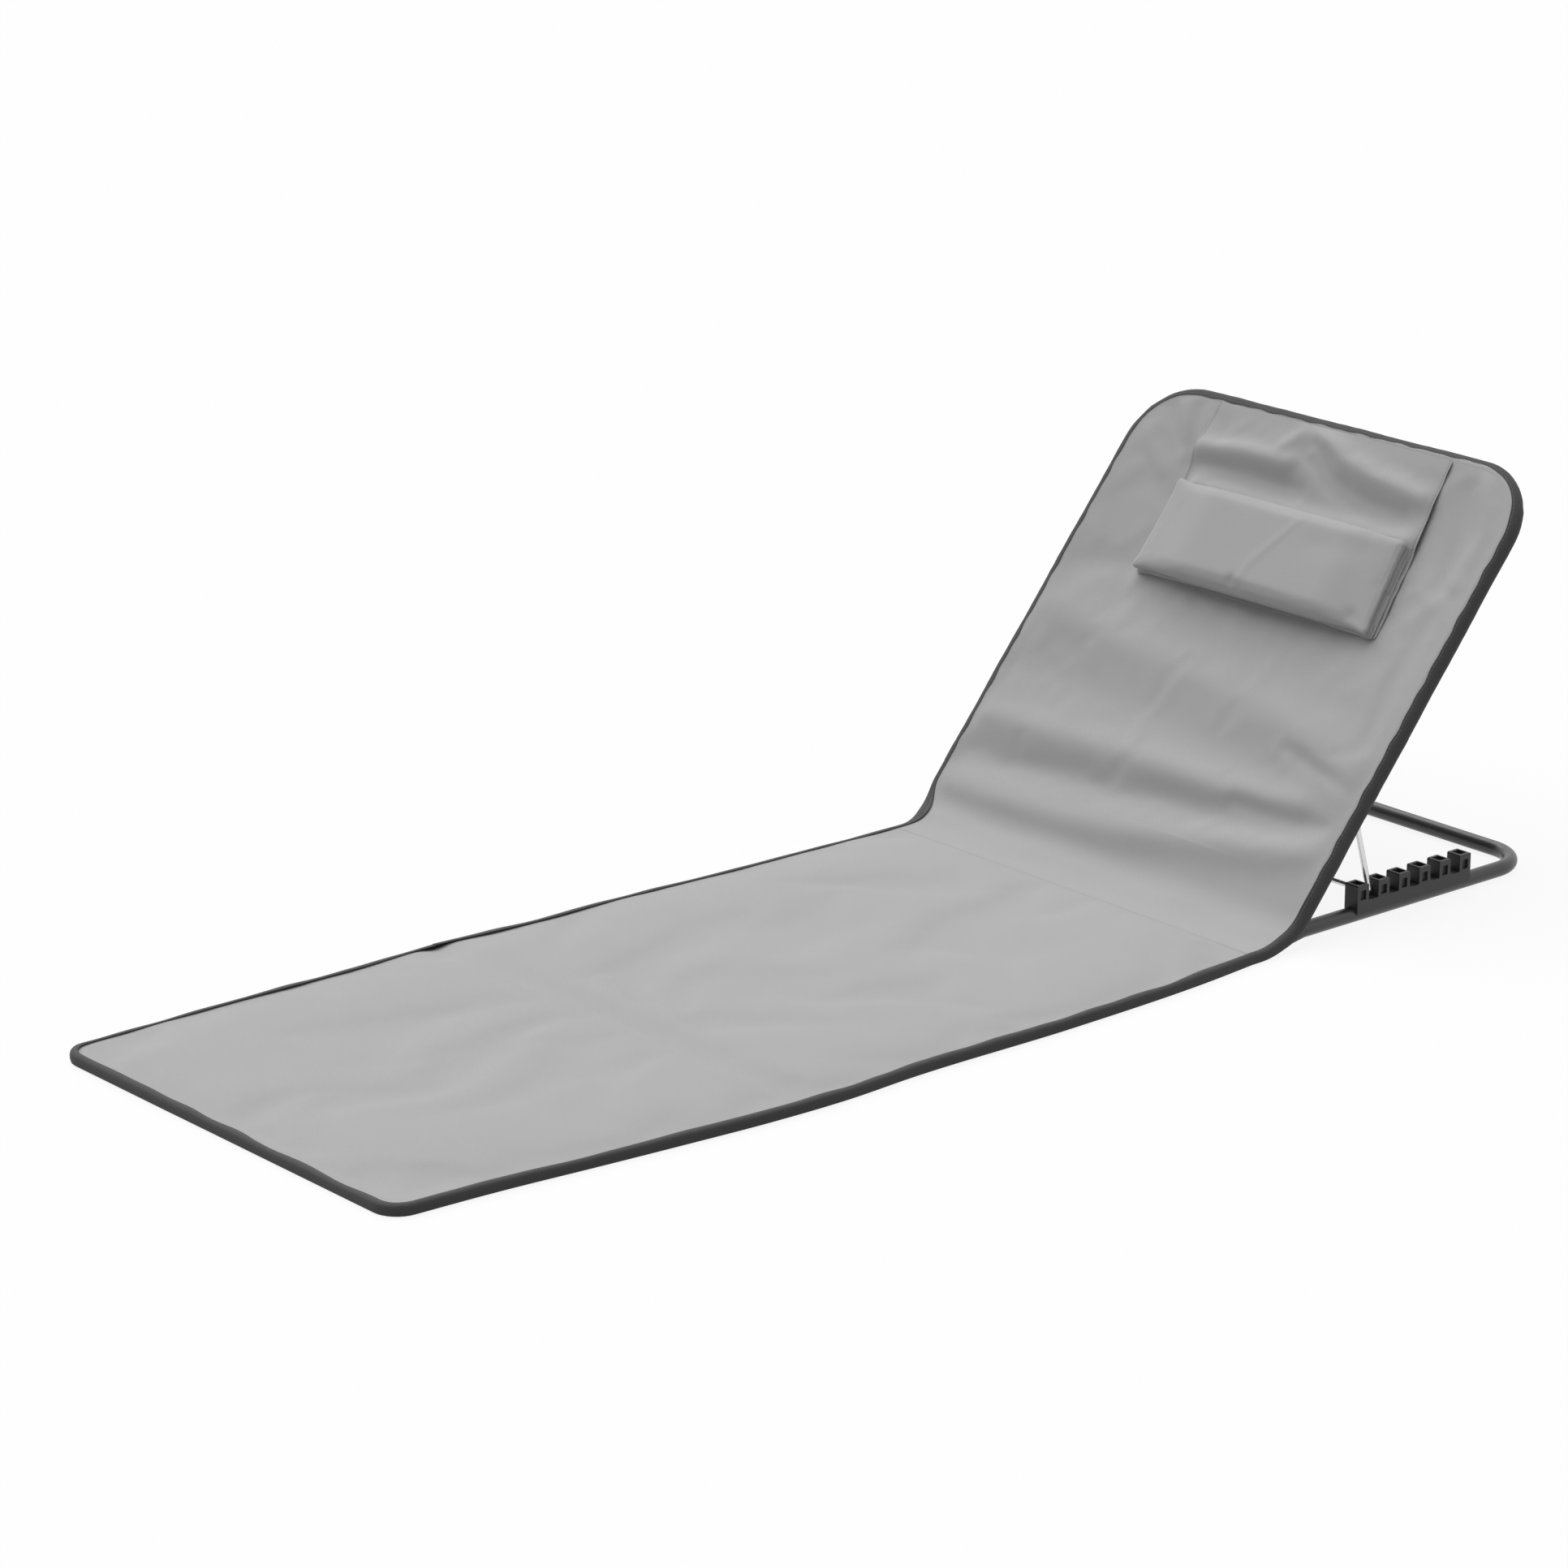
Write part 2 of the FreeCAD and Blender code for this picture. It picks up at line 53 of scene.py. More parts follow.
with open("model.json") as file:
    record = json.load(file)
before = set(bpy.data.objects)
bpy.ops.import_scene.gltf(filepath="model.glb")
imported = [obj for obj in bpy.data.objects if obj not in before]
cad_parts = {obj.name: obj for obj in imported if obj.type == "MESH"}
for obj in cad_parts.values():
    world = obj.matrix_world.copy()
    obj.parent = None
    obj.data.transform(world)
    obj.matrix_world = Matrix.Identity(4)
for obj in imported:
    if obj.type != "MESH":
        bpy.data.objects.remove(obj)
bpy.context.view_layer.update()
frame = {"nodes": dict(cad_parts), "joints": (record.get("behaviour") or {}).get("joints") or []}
joint_at = {joint["name"]: Vector(joint["pos_m"]) for joint in frame["joints"]}
hinge = joint_at["recline"]
top_rail = joint_at["pillow_flip"]
seat_seam_x = joint_at["seat_fold"].x
crease_x = joint_at["foot_fold"].x
foot_end_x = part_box("foot_binding")[0].x
tube_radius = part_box("base_tube")[1].z / 2
rail_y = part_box("backrest_tube")[1].y - tube_radius
rail_reach = (top_rail - hinge).length
lean = math.atan2(top_rail.z - hinge.z, top_rail.x - hinge.x)

# Directions up along the backrest and out from it
up_back = np.array([math.cos(lean), 0, math.sin(lean)])
out_back = np.array([-math.sin(lean), 0, math.cos(lean)])

# Insets from the edge line of the mat, and the width of its cloth
pad_inset = 0.002
underside_inset = 0.0015
binding_inset = 0.0012
mat_width = 0.54

# Thickness of each cloth as it is sewn
front_thickness = 0.0013
rear_thickness = 0.001
underside_thickness = 0.0009
strip_thickness = 0.0012
flap_thickness = 0.001
sleeve_thickness = 0.0011
tape_thickness = 0.001

# How far in front of the hinge the strip is split and bends up, and where the front cloth leaves the tube
strip_bend = 0.037
lift_off = math.radians(104)


class ReclinerMat(bpy.types.PropertyGroup):
    """Sizes of the padded mat and of the hinge strip."""
    crown: FloatProperty(name="Crown", default=0.0142, unit="LENGTH",
                         description="Height of the padding in the middle")
    edge: FloatProperty(name="Edge", default=0.0096, unit="LENGTH",
                        description="Height of the padding at its bound edge")
    ease: FloatProperty(name="Edge ease", default=0.045, unit="LENGTH",
                        description="How far in the padding rises to its crown")
    crease: FloatProperty(name="Crease", default=0.0036, unit="LENGTH",
                          description="Depth of the fold line between the panels")
    crease_width: FloatProperty(name="Crease width", default=0.016, unit="LENGTH",
                                description="Half width of the fold line")
    corner: FloatProperty(name="Corner", default=0.026, unit="LENGTH",
                          description="Radius of the corners at the foot end")
    ripple: FloatProperty(name="Ripple", default=0.0016, unit="LENGTH",
                          description="Height of the slack in the cloth over the padding")
    spacing: FloatProperty(name="Mesh step", default=0.008, unit="LENGTH",
                           description="Distance between the points of the padding")
    strip_level: FloatProperty(name="Strip level", default=0.0104, unit="LENGTH",
                               description="Height of the hinge strip at the seat seam")


class ReclinerBackrest(bpy.types.PropertyGroup):
    """Sizes of the backrest cover."""
    cover_start: FloatProperty(name="Lower seam", default=0.06, unit="LENGTH",
                               description="Distance of the lower seam from the hinge")
    corner: FloatProperty(name="Corner", default=0.068, unit="LENGTH",
                          description="Radius of the bent corners of the tube")
    sag: FloatProperty(name="Sag", default=0.017, unit="LENGTH",
                       description="How far the cloth hangs behind the tube in the middle")
    wrap: FloatProperty(name="Cloth wrap", default=0.0096, unit="LENGTH",
                        description="Distance of the cloth from the middle of the tube")
    seam_angle: FloatProperty(name="Seam angle", default=math.radians(82), subtype="ANGLE",
                              description="Where the sleeve meets the front cloth, round the tube")
    spacing: FloatProperty(name="Mesh step", default=0.007, unit="LENGTH",
                           description="Distance between the points of the cloth")


class ReclinerPillow(bpy.types.PropertyGroup):
    """Sizes of the flap pillow."""
    width: FloatProperty(name="Width", default=0.330, unit="LENGTH", description="Width of the pillow")
    shift: FloatProperty(name="Shift", default=-0.005, unit="LENGTH",
                         description="How far the pillow sits from the middle")
    length: FloatProperty(name="Length", default=0.108, unit="LENGTH",
                          description="Length of the pillow down the backrest")
    height: FloatProperty(name="Height", default=0.036, unit="LENGTH", description="Height of the pillow")
    bottom: FloatProperty(name="Bottom", default=0.323, unit="LENGTH",
                          description="Distance of its lower edge from the hinge")
    flap_width: FloatProperty(name="Flap width", default=0.34, unit="LENGTH", description="Width of the flap")


class ReclinerFinish(bpy.types.PropertyGroup):
    """Colours of the cloth, the frame and the floor."""
    light_cloth: FloatVectorProperty(name="Light cloth", description="Colour of the main cloth",
                                     subtype="COLOR", size=4, default=(0.43, 0.43, 0.43, 1))
    dark_cloth: FloatVectorProperty(name="Dark cloth", description="Colour of the bindings and the back",
                                    subtype="COLOR", size=4, default=(0.058, 0.058, 0.059, 1))
    tube_paint: FloatVectorProperty(name="Tube paint", description="Colour of the painted tube",
                                    subtype="COLOR", size=4, default=(0.052, 0.052, 0.053, 1))
    rack: FloatVectorProperty(name="Rack", description="Colour of the moulded racks",
                              subtype="COLOR", size=4, default=(0.040, 0.040, 0.041, 1))
    wire: FloatVectorProperty(name="Wire", description="Colour of the bright prop wire",
                              subtype="COLOR", size=4, default=(0.82, 0.82, 0.82, 1))
    rivet: FloatVectorProperty(name="Rivet", description="Colour of the rivets",
                               subtype="COLOR", size=4, default=(0.5, 0.5, 0.5, 1))
    nylon: FloatVectorProperty(name="Nylon", description="Colour of the bushes and washers",
                               subtype="COLOR", size=4, default=(0.06, 0.06, 0.06, 1))
    floor: FloatVectorProperty(name="Floor", description="Colour of the floor",
                               subtype="COLOR", size=4, default=(0.50, 0.50, 0.50, 1))


class ReclinerStudio(bpy.types.PropertyGroup):
    """Light and camera."""
    key: FloatProperty(name="Key light", description="Strength of the light from above", default=2.46)
    key_from: FloatVectorProperty(name="Key side", description="Where the light from above comes from",
                                  subtype="XYZ", default=(-0.04, 0.46, 1.0))
    fill: FloatProperty(name="Sky", description="Strength of the even light all round", default=0.24)
    lens: FloatProperty(name="Lens", description="Focal length of the camera in millimetres", default=122.9)
    place: FloatVectorProperty(name="Camera place", description="Where the camera stands",
                               subtype="XYZ", default=(-3.2712, -3.7481, 1.7911))
    tilt: FloatProperty(name="Camera tilt", description="How far the camera looks down",
                        subtype="ANGLE", default=math.radians(17.934))
    turn: FloatProperty(name="Camera turn", description="Which way the camera looks",
                        subtype="ANGLE", default=math.radians(-40.507))


def only(piece):
    """Make one object the only one selected, and the active one."""
    bpy.ops.object.select_all(action="DESELECT")
    piece.select_set(True)
    bpy.context.view_layer.objects.active = piece


def points_of(piece):
    """The points of a mesh as an array."""
    flat = np.empty(len(piece.data.vertices) * 3)
    piece.data.vertices.foreach_get("co", flat)
    return flat.reshape(-1, 3)


def move_points(piece, points):
    """Put the points of a mesh in new places."""
    piece.data.vertices.foreach_set("co", np.ascontiguousarray(points, dtype=np.float32).ravel())
    piece.data.update()


def cloth_grid(name, rows, columns):
    """A flat grid, and the row and column of each of its points."""
    bpy.ops.object.select_all(action="DESELECT")
    bpy.ops.mesh.primitive_grid_add(x_subdivisions=columns - 1, y_subdivisions=rows - 1, size=1)
    piece = bpy.context.object
    piece.name = name
    piece.data.name = name
    spot = points_of(piece)
    column = np.rint((spot[:, 0] + 0.5) * (columns - 1)).astype(int)
    row = np.rint((spot[:, 1] + 0.5) * (rows - 1)).astype(int)
    return piece, row, column


def lay_cloth(piece, across, along, hem=None):
    """Lay the maps of the cloth in metres: its flat pattern, and its distance off and along a sewn edge."""
    corner = np.empty(len(piece.data.loops), dtype=np.int32)
    piece.data.loops.foreach_get("vertex_index", corner)
    if piece.data.uv_layers.active:
        piece.data.uv_layers[0].name = "Cut"
    for name, spots in (("Cut", (across, along)), ("Hem", hem or (0 * along + 1, along))):
        layer = piece.data.uv_layers.get(name) or piece.data.uv_layers.new(name=name)
        flat = np.stack([spots[0][corner], spots[1][corner]], axis=1)
        layer.data.foreach_set("uv", np.ascontiguousarray(flat, dtype=np.float32).ravel())


def finish_with(piece, kind, **values):
    """Add a modifier with its values and apply it."""
    only(piece)
    modifier = piece.modifiers.new(kind.title(), kind)
    for key, value in values.items():
        setattr(modifier, key, value)
    bpy.ops.object.modifier_apply(modifier=modifier.name)


def thicken(piece, thickness):
    """Give a sheet its thickness, away from its outer side."""
    finish_with(piece, "SOLIDIFY", thickness=thickness, offset=-1, use_even_offset=True)


def soften(piece, angle=50):
    """Shade a piece smooth up to an angle."""
    only(piece)
    bpy.ops.object.shade_smooth_by_angle(angle=math.radians(angle))


def choose(piece, kind, wanted):
    """Go into edit mode with only the wanted edges or faces of a piece selected."""
    only(piece)
    bpy.ops.object.mode_set(mode="EDIT")
    bpy.ops.mesh.select_mode(type=kind)
    bpy.ops.mesh.select_all(action="DESELECT")
    bpy.ops.object.mode_set(mode="OBJECT")
    for part in piece.data.edges if kind == "EDGE" else piece.data.polygons:
        part.select = bool(wanted(part))
    bpy.ops.object.mode_set(mode="EDIT")


def leave_edit():
    """Go back to points and to object mode."""
    bpy.ops.mesh.select_mode(type="VERT")
    bpy.ops.object.mode_set(mode="OBJECT")


def turn_over(piece):
    """Turn every face of a piece round."""
    only(piece)
    bpy.ops.object.mode_set(mode="EDIT")
    bpy.ops.mesh.select_all(action="SELECT")
    bpy.ops.mesh.flip_normals()
    bpy.ops.object.mode_set(mode="OBJECT")


def face_out(piece, direction):
    """Turn the faces of a sheet so that they look along a direction on average."""
    total = Vector()
    for face in piece.data.polygons:
        total += face.normal * face.area
    if total.dot(Vector(direction)) < 0:
        turn_over(piece)


def ripple(spots, step, seed):
    """Smooth noise from -1 to 1 at each spot."""
    return np.array([noise.noise(Vector((x / step, y / step, z / step)) + Vector((seed, 2 * seed, 0)))
                     for x, y, z in spots])


def simulate(piece, frames, **values):
    """Run a cloth simulation without weight or collisions, and keep its last frame."""
    only(piece)
    modifier = piece.modifiers.new("Cloth", "CLOTH")
    for key, value in values.items():
        setattr(modifier.settings, key, value)
    modifier.settings.effector_weights.gravity = 0
    modifier.collision_settings.use_collision = False
    modifier.collision_settings.use_self_collision = False
    modifier.point_cache.frame_start = 1
    modifier.point_cache.frame_end = frames
    for step in range(1, frames + 1):
        bpy.context.scene.frame_set(step)
    bpy.ops.object.modifier_apply(modifier=modifier.name)
    bpy.context.scene.frame_set(1)


def hold_back(piece, start, free, limit):
    """Let each point go only the free share of its way from its start, and never past a limit."""
    moved = points_of(piece) - start
    reach = np.linalg.norm(moved, axis=1, keepdims=True)
    capped = limit * np.tanh(reach / limit)
    move_points(piece, start + free * moved * capped / np.maximum(reach, 1e-9))


def settle(piece, hold, free, growth, frames, stiffness, bending, limit):
    """Let the cloth settle by simulation: hold is how firmly each point is kept, free how far it may go."""
    start = points_of(piece)
    group = piece.vertex_groups.new(name="Held")
    for level in np.unique(hold):
        group.add([int(i) for i in np.flatnonzero(hold == level)], float(level), "REPLACE")
    simulate(piece, frames, quality=6, mass=0.25, tension_stiffness=stiffness,
             compression_stiffness=stiffness, shear_stiffness=stiffness / 2, bending_stiffness=bending,
             vertex_group_mass=group.name, pin_stiffness=1, shrink_min=-growth)
    piece.vertex_groups.clear()
    hold_back(piece, start, free[:, None], limit)


def smooth_line(spots, x):
    """Smooth curve through (x, y) spots, given in rising order of x."""
    xs, ys = np.array(spots).T
    slopes = np.gradient(ys, xs)
    i = np.clip(np.searchsorted(xs, x) - 1, 0, len(xs) - 2)
    span = xs[i + 1] - xs[i]
    t = np.clip((x - xs[i]) / span, 0, 1)
    rise = ys[i] * (1 + 2 * t) * (1 - t) ** 2 + ys[i + 1] * t * t * (3 - 2 * t)
    return rise + span * (slopes[i] * t * (1 - t) ** 2 - slopes[i + 1] * t * t * (1 - t))


def ease_between(x, low, high):
    """Smooth step from 0 at low to 1 at high."""
    t = np.clip((x - low) / (high - low), 0, 1)
    return t * t * (3 - 2 * t)


def fold_height(u, v, strokes):
    """Height of the folds of a cloth at each point: each stroke has a run, a height and a half width."""
    total = np.zeros(len(u))
    for run, height, reach in strokes:
        nearest = np.full(len(u), np.inf)
        for (u0, v0), (u1, v1) in zip(run, run[1:]):
            du, dv = u1 - u0, v1 - v0
            t = np.clip(((u - u0) * du + (v - v0) * dv) / (du * du + dv * dv), 0, 1)
            nearest = np.minimum(nearest, np.hypot(u - u0 - t * du, v - v0 - t * dv))
        total = total + height * np.exp(-(nearest / reach) ** 2)
    return total


# Edge lines of the mat: distance from the hinge along x, and y
near_edge = [(-1.096, -0.257), (-0.979, -0.265), (-0.880, -0.276), (-0.783, -0.286), (-0.694, -0.294),
             (-0.601, -0.297), (-0.520, -0.293), (-0.316, -0.295), (-0.118, -0.287), (-0.061, -0.281)]
far_edge = [(-1.096, 0.262), (-0.950, 0.266), (-0.761, 0.265), (-0.645, 0.269), (-0.593, 0.264),
            (-0.516, 0.260), (-0.470, 0.261), (-0.276, 0.254), (-0.061, 0.249)]


def mat_sides(x, inset, corner):
    """The near and the far edge of the mat at each x, with the rounded corners at the foot end."""
    from_hinge = x - hinge.x
    near = smooth_line(near_edge, from_hinge) + inset
    far = smooth_line(far_edge, from_hinge) - inset
    radius = max(corner - inset, 0.002)
    into = np.clip((x - foot_end_x - inset) / radius, 0, 1)
    pull = radius * (1 - np.sqrt(np.maximum(1 - (1 - into) ** 2, 0)))
    return near + pull, far - pull


def mat_rows(start, end, step, corner, inset):
    """Places of the rows of a panel along x, closer together round the corners of the foot end."""
    if end is not None:
        return np.linspace(start, end, int(round(abs(start - end) / step)) + 1)
    radius = corner - inset
    shoulder = foot_end_x + inset + radius
    straight = np.linspace(start, shoulder, int(round(abs(start - shoulder) / step)) + 1)
    turn = shoulder - radius * np.sin(np.linspace(0, math.pi / 2, 9)[1:])
    return np.concatenate([straight, turn])


def mat_height(x, y, near, far, sizes, has_end):
    """Height of the top of the padding: crowned, eased down at its edges, the crease and the seat seam."""
    reach = np.minimum(y - near, far - y)
    if has_end:
        reach = np.minimum(reach, x - foot_end_x)
    full = sizes.edge + (sizes.crown - sizes.edge) * (1 - np.exp(-(np.maximum(reach, 0) / sizes.ease) ** 2))
    full = full - sizes.crease * np.exp(-((x - crease_x) / sizes.crease_width) ** 2)
    ridge, ridge_place, ridge_width, seam_ease = 0.0016, 0.036, 0.016, 0.012
    inner = ease_between(reach, 0.008, 0.03)
    full = full + ridge * inner * np.exp(-((x - crease_x - ridge_place) / ridge_width) ** 2)
    seam = np.exp(-np.abs(x - seat_seam_x) / seam_ease)
    return full * (1 - seam) + sizes.strip_level * seam


def panel_of(name, start, end, sizes, inset):
    """Grid of one panel of the mat, with the places and the pattern of its points."""
    rows = mat_rows(start, end, sizes.spacing, sizes.corner, inset)
    columns = int(round(mat_width / sizes.spacing)) + 1
    piece, row, column = cloth_grid(name, len(rows), columns)
    x = rows[row]
    near, far = mat_sides(x, inset, sizes.corner)
    share = column / (columns - 1)
    y = near + (far - near) * share
    lay_cloth(piece, y, x, (np.abs(x - seat_seam_x), y))
    return piece, x, y, near, far, row, column


def leaning(u, v, off):
    """Point of the backrest: across, up from the hinge, and out from the plane of its tube."""
    return np.stack([hinge.x + v * math.cos(lean) - off * math.sin(lean), u + 0 * v,
                     hinge.z + v * math.sin(lean) + off * math.cos(lean)], axis=-1)


def from_leaning(spots):
    """The reverse of leaning: across, up from the hinge and out from the plane of the tube."""
    x, z = spots[:, 0] - hinge.x, spots[:, 2] - hinge.z
    return spots[:, 1], x * math.cos(lean) + z * math.sin(lean), z * math.cos(lean) - x * math.sin(lean)


def node_tree(name):
    """A new material, its node tree and its shader."""
    material = bpy.data.materials.new(name)
    material.use_nodes = True
    tree = material.node_tree
    return material, tree, tree.nodes["Principled BSDF"]


def wire_up(tree, start, socket, end, target):
    """Link one node to another by the names of their sockets."""
    tree.links.new(start.outputs[socket], end.inputs[target])


def maths(tree, operation, first, second=None):
    """A math node on plain numbers or sockets, as its output."""
    node = tree.nodes.new("ShaderNodeMath")
    node.operation = operation
    for slot, value in enumerate((first, second)):
        if isinstance(value, (int, float)):
            node.inputs[slot].default_value = value
        elif value is not None:
            tree.links.new(value, node.inputs[slot])
    return node.outputs[0]


def scaled(tree, colour, amount):
    """A colour times a number, as an output."""
    node = tree.nodes.new("ShaderNodeVectorMath")
    node.operation = "SCALE"
    tree.links.new(colour, node.inputs[0])
    tree.links.new(amount, node.inputs["Scale"])
    return node.outputs[0]


def noise_of(tree, place, scale, detail):
    """Smooth noise on a place, as its output."""
    node = tree.nodes.new("ShaderNodeTexNoise")
    node.inputs["Detail"].default_value = detail
    if isinstance(scale, (int, float)):
        node.inputs["Scale"].default_value = scale
    else:
        tree.links.new(scale, node.inputs["Scale"])
    tree.links.new(place, node.inputs["Vector"])
    return node.outputs["Fac"]


def between(tree, value, low, high):
    """1 where a value is below low, falling to 0 at high."""
    node = tree.nodes.new("ShaderNodeMapRange")
    for name, number in (("From Min", low), ("From Max", high), ("To Min", 1.0), ("To Max", 0.0)):
        node.inputs[name].default_value = number
    tree.links.new(value, node.inputs["Value"])
    return node.outputs["Result"]


def new_group(name, place, numbers, colour, results):
    """An empty node group: its place, its numbers with their defaults, its colour and its results."""
    group = bpy.data.node_groups.new(name, "ShaderNodeTree")
    face = group.interface
    face.new_socket(place, in_out="INPUT", socket_type="NodeSocketVector")
    for label, value in numbers.items():
        face.new_socket(label, in_out="INPUT", socket_type="NodeSocketFloat").default_value = value
    if colour:
        face.new_socket(colour, in_out="INPUT", socket_type="NodeSocketColor")
    for label in results:
        kind = "NodeSocketColor" if label == "Color" else "NodeSocketFloat"
        face.new_socket(label, in_out="OUTPUT", socket_type=kind)
    source = group.nodes.new("NodeGroupInput")
    target = group.nodes.new("NodeGroupOutput")
    return group, source.outputs, target.inputs


def weave_group():
    """Plain weave with uneven yarns, on the cut pattern of the cloth."""
    name = "Plain weave"
    if name in bpy.data.node_groups:
        return bpy.data.node_groups[name]
    numbers = {"Yarns per metre": 1100.0, "Slub": 0.35, "Mottle": 0.06}
    group, given, result = new_group(name, "Pattern", numbers, "Cloth", ("Color", "Height", "Roughness"))
    split = group.nodes.new("ShaderNodeSeparateXYZ")
    group.links.new(given["Pattern"], split.inputs[0])
    turns = []
    for axis in (0, 1):
        count = maths(group, "MULTIPLY", split.outputs[axis], given["Yarns per metre"])
        turns.append(maths(group, "SINE", maths(group, "MULTIPLY", count, math.pi)))
    over = maths(group, "MULTIPLY", turns[0], turns[1])
    slub = maths(group, "SUBTRACT", noise_of(group, given["Pattern"], 260, 3), 0.5)
    uneven = maths(group, "MULTIPLY", slub, given["Slub"])
    group.links.new(maths(group, "ADD", over, maths(group, "MULTIPLY", uneven, 4.0)), result["Height"])
    mottle = maths(group, "SUBTRACT", noise_of(group, given["Pattern"], 9, 5), 0.5)
    broad = maths(group, "MULTIPLY", mottle, given["Mottle"])
    fine = maths(group, "ADD", maths(group, "MULTIPLY", over, 0.035), maths(group, "MULTIPLY", uneven, 0.16))
    tone = maths(group, "ADD", maths(group, "ADD", broad, fine), 1.0)
    group.links.new(scaled(group, given["Cloth"], tone), result["Color"])
    group.links.new(maths(group, "ADD", maths(group, "MULTIPLY", uneven, 0.25), 0.74), result["Roughness"])
    return group


def stitch_group():
    """Row of stitches beside a sewn edge, with the cloth drawn in along it and painted shade darkening its
    colour there.
    """
    name = "Stitch row"
    if name in bpy.data.node_groups:
        return bpy.data.node_groups[name]
    numbers = {"Offset": 0.0024, "Stitches per metre": 230.0, "Thread": 1.0}
    group, given, result = new_group(name, "Hem", numbers, None, ("Tone", "Height"))
    split = group.nodes.new("ShaderNodeSeparateXYZ")
    group.links.new(given["Hem"], split.inputs[0])
    aside = maths(group, "ABSOLUTE", maths(group, "SUBTRACT", split.outputs[0], given["Offset"]))
    count = maths(group, "MULTIPLY", split.outputs[1], given["Stitches per metre"])
    wave = maths(group, "ABSOLUTE", maths(group, "SINE", maths(group, "MULTIPLY", count, math.pi)))
    gap = between(group, wave, 0.16, 0.42)
    on_row = between(group, aside, 0.0003, 0.0007)
    thread = maths(group, "MULTIPLY", on_row, maths(group, "SUBTRACT", 1.0, gap))
    drawn = between(group, aside, 0.0004, 0.0032)
    paint = maths(group, "MULTIPLY", thread, maths(group, "SUBTRACT", given["Thread"], 1.0))
    # Painted shade: the colour is darkened where the cloth is drawn in beside the seam
    painted_seam_shade = maths(group, "MULTIPLY", drawn, -0.10)
    group.links.new(maths(group, "ADD", maths(group, "ADD", paint, painted_seam_shade), 1.0), result["Tone"])
    raised = maths(group, "MULTIPLY", thread, 3.0)
    group.links.new(maths(group, "ADD", raised, maths(group, "MULTIPLY", drawn, -2.5)), result["Height"])
    return group


def scuff_group():
    """Fine grain, faint scuffs and tone for paint, plastic and wire, on the piece's own coordinates."""
    name = "Fine scuff"
    if name in bpy.data.node_groups:
        return bpy.data.node_groups[name]
    numbers = {"Grain": 900.0, "Scuffs": 0.3, "Base roughness": 0.4}
    group, given, result = new_group(name, "Place", numbers, "Paint", ("Color", "Height", "Roughness"))
    group.links.new(noise_of(group, given["Place"], given["Grain"], 4), result["Height"])
    smooth = between(group, noise_of(group, given["Place"], 34, 6), 0.52, 0.78)
    worn = maths(group, "MULTIPLY", maths(group, "SUBTRACT", 1.0, smooth), given["Scuffs"])
    group.links.new(maths(group, "ADD", maths(group, "MULTIPLY", worn, 0.3), given["Base roughness"]),
                    result["Roughness"])
    tone = maths(group, "ADD", maths(group, "MULTIPLY", worn, 0.5), 1.0)
    group.links.new(scaled(group, given["Paint"], tone), result["Color"])
    return group


def woven(name, colour, yarns, depth, mottle, thread):
    """Woven cloth in one colour, with stitches along its sewn edges and painted shade beside them."""
    found = bpy.data.materials.get(name)
    if found:
        return found
    material, tree, shader = node_tree(name)
    groups = []
    for group, socket, layer in ((weave_group(), "Pattern", "Cut"), (stitch_group(), "Hem", "Hem")):
        place = tree.nodes.new("ShaderNodeUVMap")
        place.uv_map = layer
        node = tree.nodes.new("ShaderNodeGroup")
        node.node_tree = group
        wire_up(tree, place, "UV", node, socket)
        groups.append(node)
    weave, stitch = groups
    for label, value in (("Yarns per metre", yarns), ("Mottle", mottle), ("Cloth", colour)):
        weave.inputs[label].default_value = value
    stitch.inputs["Thread"].default_value = thread
    tree.links.new(scaled(tree, weave.outputs["Color"], stitch.outputs["Tone"]), shader.inputs["Base Color"])
    wire_up(tree, weave, "Roughness", shader, "Roughness")
    height = maths(tree, "ADD", weave.outputs["Height"], stitch.outputs["Height"])
    add_bump(tree, shader, height, depth, 0.5)
    shader.inputs["Sheen Weight"].default_value = 0.06
    shader.inputs["Specular IOR Level"].default_value = 0.3
    return material


def add_bump(tree, shader, height, depth, strength):
    """Give a shader the relief of a height."""
    bump = tree.nodes.new("ShaderNodeBump")
    bump.inputs["Distance"].default_value = depth
    bump.inputs["Strength"].default_value = strength
    tree.links.new(height, bump.inputs["Height"])
    wire_up(tree, bump, "Normal", shader, "Normal")


def coated(name, colour, grain, depth, roughness, metallic, scuffs, coat=0.0):
    """Painted, moulded or bright surface."""
    found = bpy.data.materials.get(name)
    if found:
        return found
    material, tree, shader = node_tree(name)
    place = tree.nodes.new("ShaderNodeTexCoord")
    scuff = tree.nodes.new("ShaderNodeGroup")
    scuff.node_tree = scuff_group()
    for label, value in (("Grain", grain), ("Scuffs", scuffs), ("Base roughness", roughness),
                         ("Paint", colour)):
        scuff.inputs[label].default_value = value
    wire_up(tree, place, "Object", scuff, "Place")
    wire_up(tree, scuff, "Color", shader, "Base Color")
    wire_up(tree, scuff, "Roughness", shader, "Roughness")
    add_bump(tree, shader, scuff.outputs["Height"], depth, 0.4)
    shader.inputs["Metallic"].default_value = metallic
    shader.inputs["Coat Weight"].default_value = coat
    return material


def light_cloth():
    """The main cloth."""
    return woven("Light cloth", bpy.context.scene.recliner_finish.light_cloth, yarns=1100, depth=0.00012,
                 mottle=0.07, thread=0.84)


def dark_cloth():
    """The bindings and the back."""
    return woven("Dark cloth", bpy.context.scene.recliner_finish.dark_cloth, yarns=900, depth=0.0002,
                 mottle=0.16, thread=2.0)


def dress(piece, slot):
    """Give a new piece the light or the dark cloth that its slot name says."""
    piece.data.materials.clear()
    piece.data.materials.append(light_cloth() if slot == "light_cloth" else dark_cloth())


def finish_sheet(piece, slot, thickness, angle=50):
    """Give a sheet its thickness, its shading and its cloth."""
    thicken(piece, thickness)
    soften(piece, angle)
    dress(piece, slot)


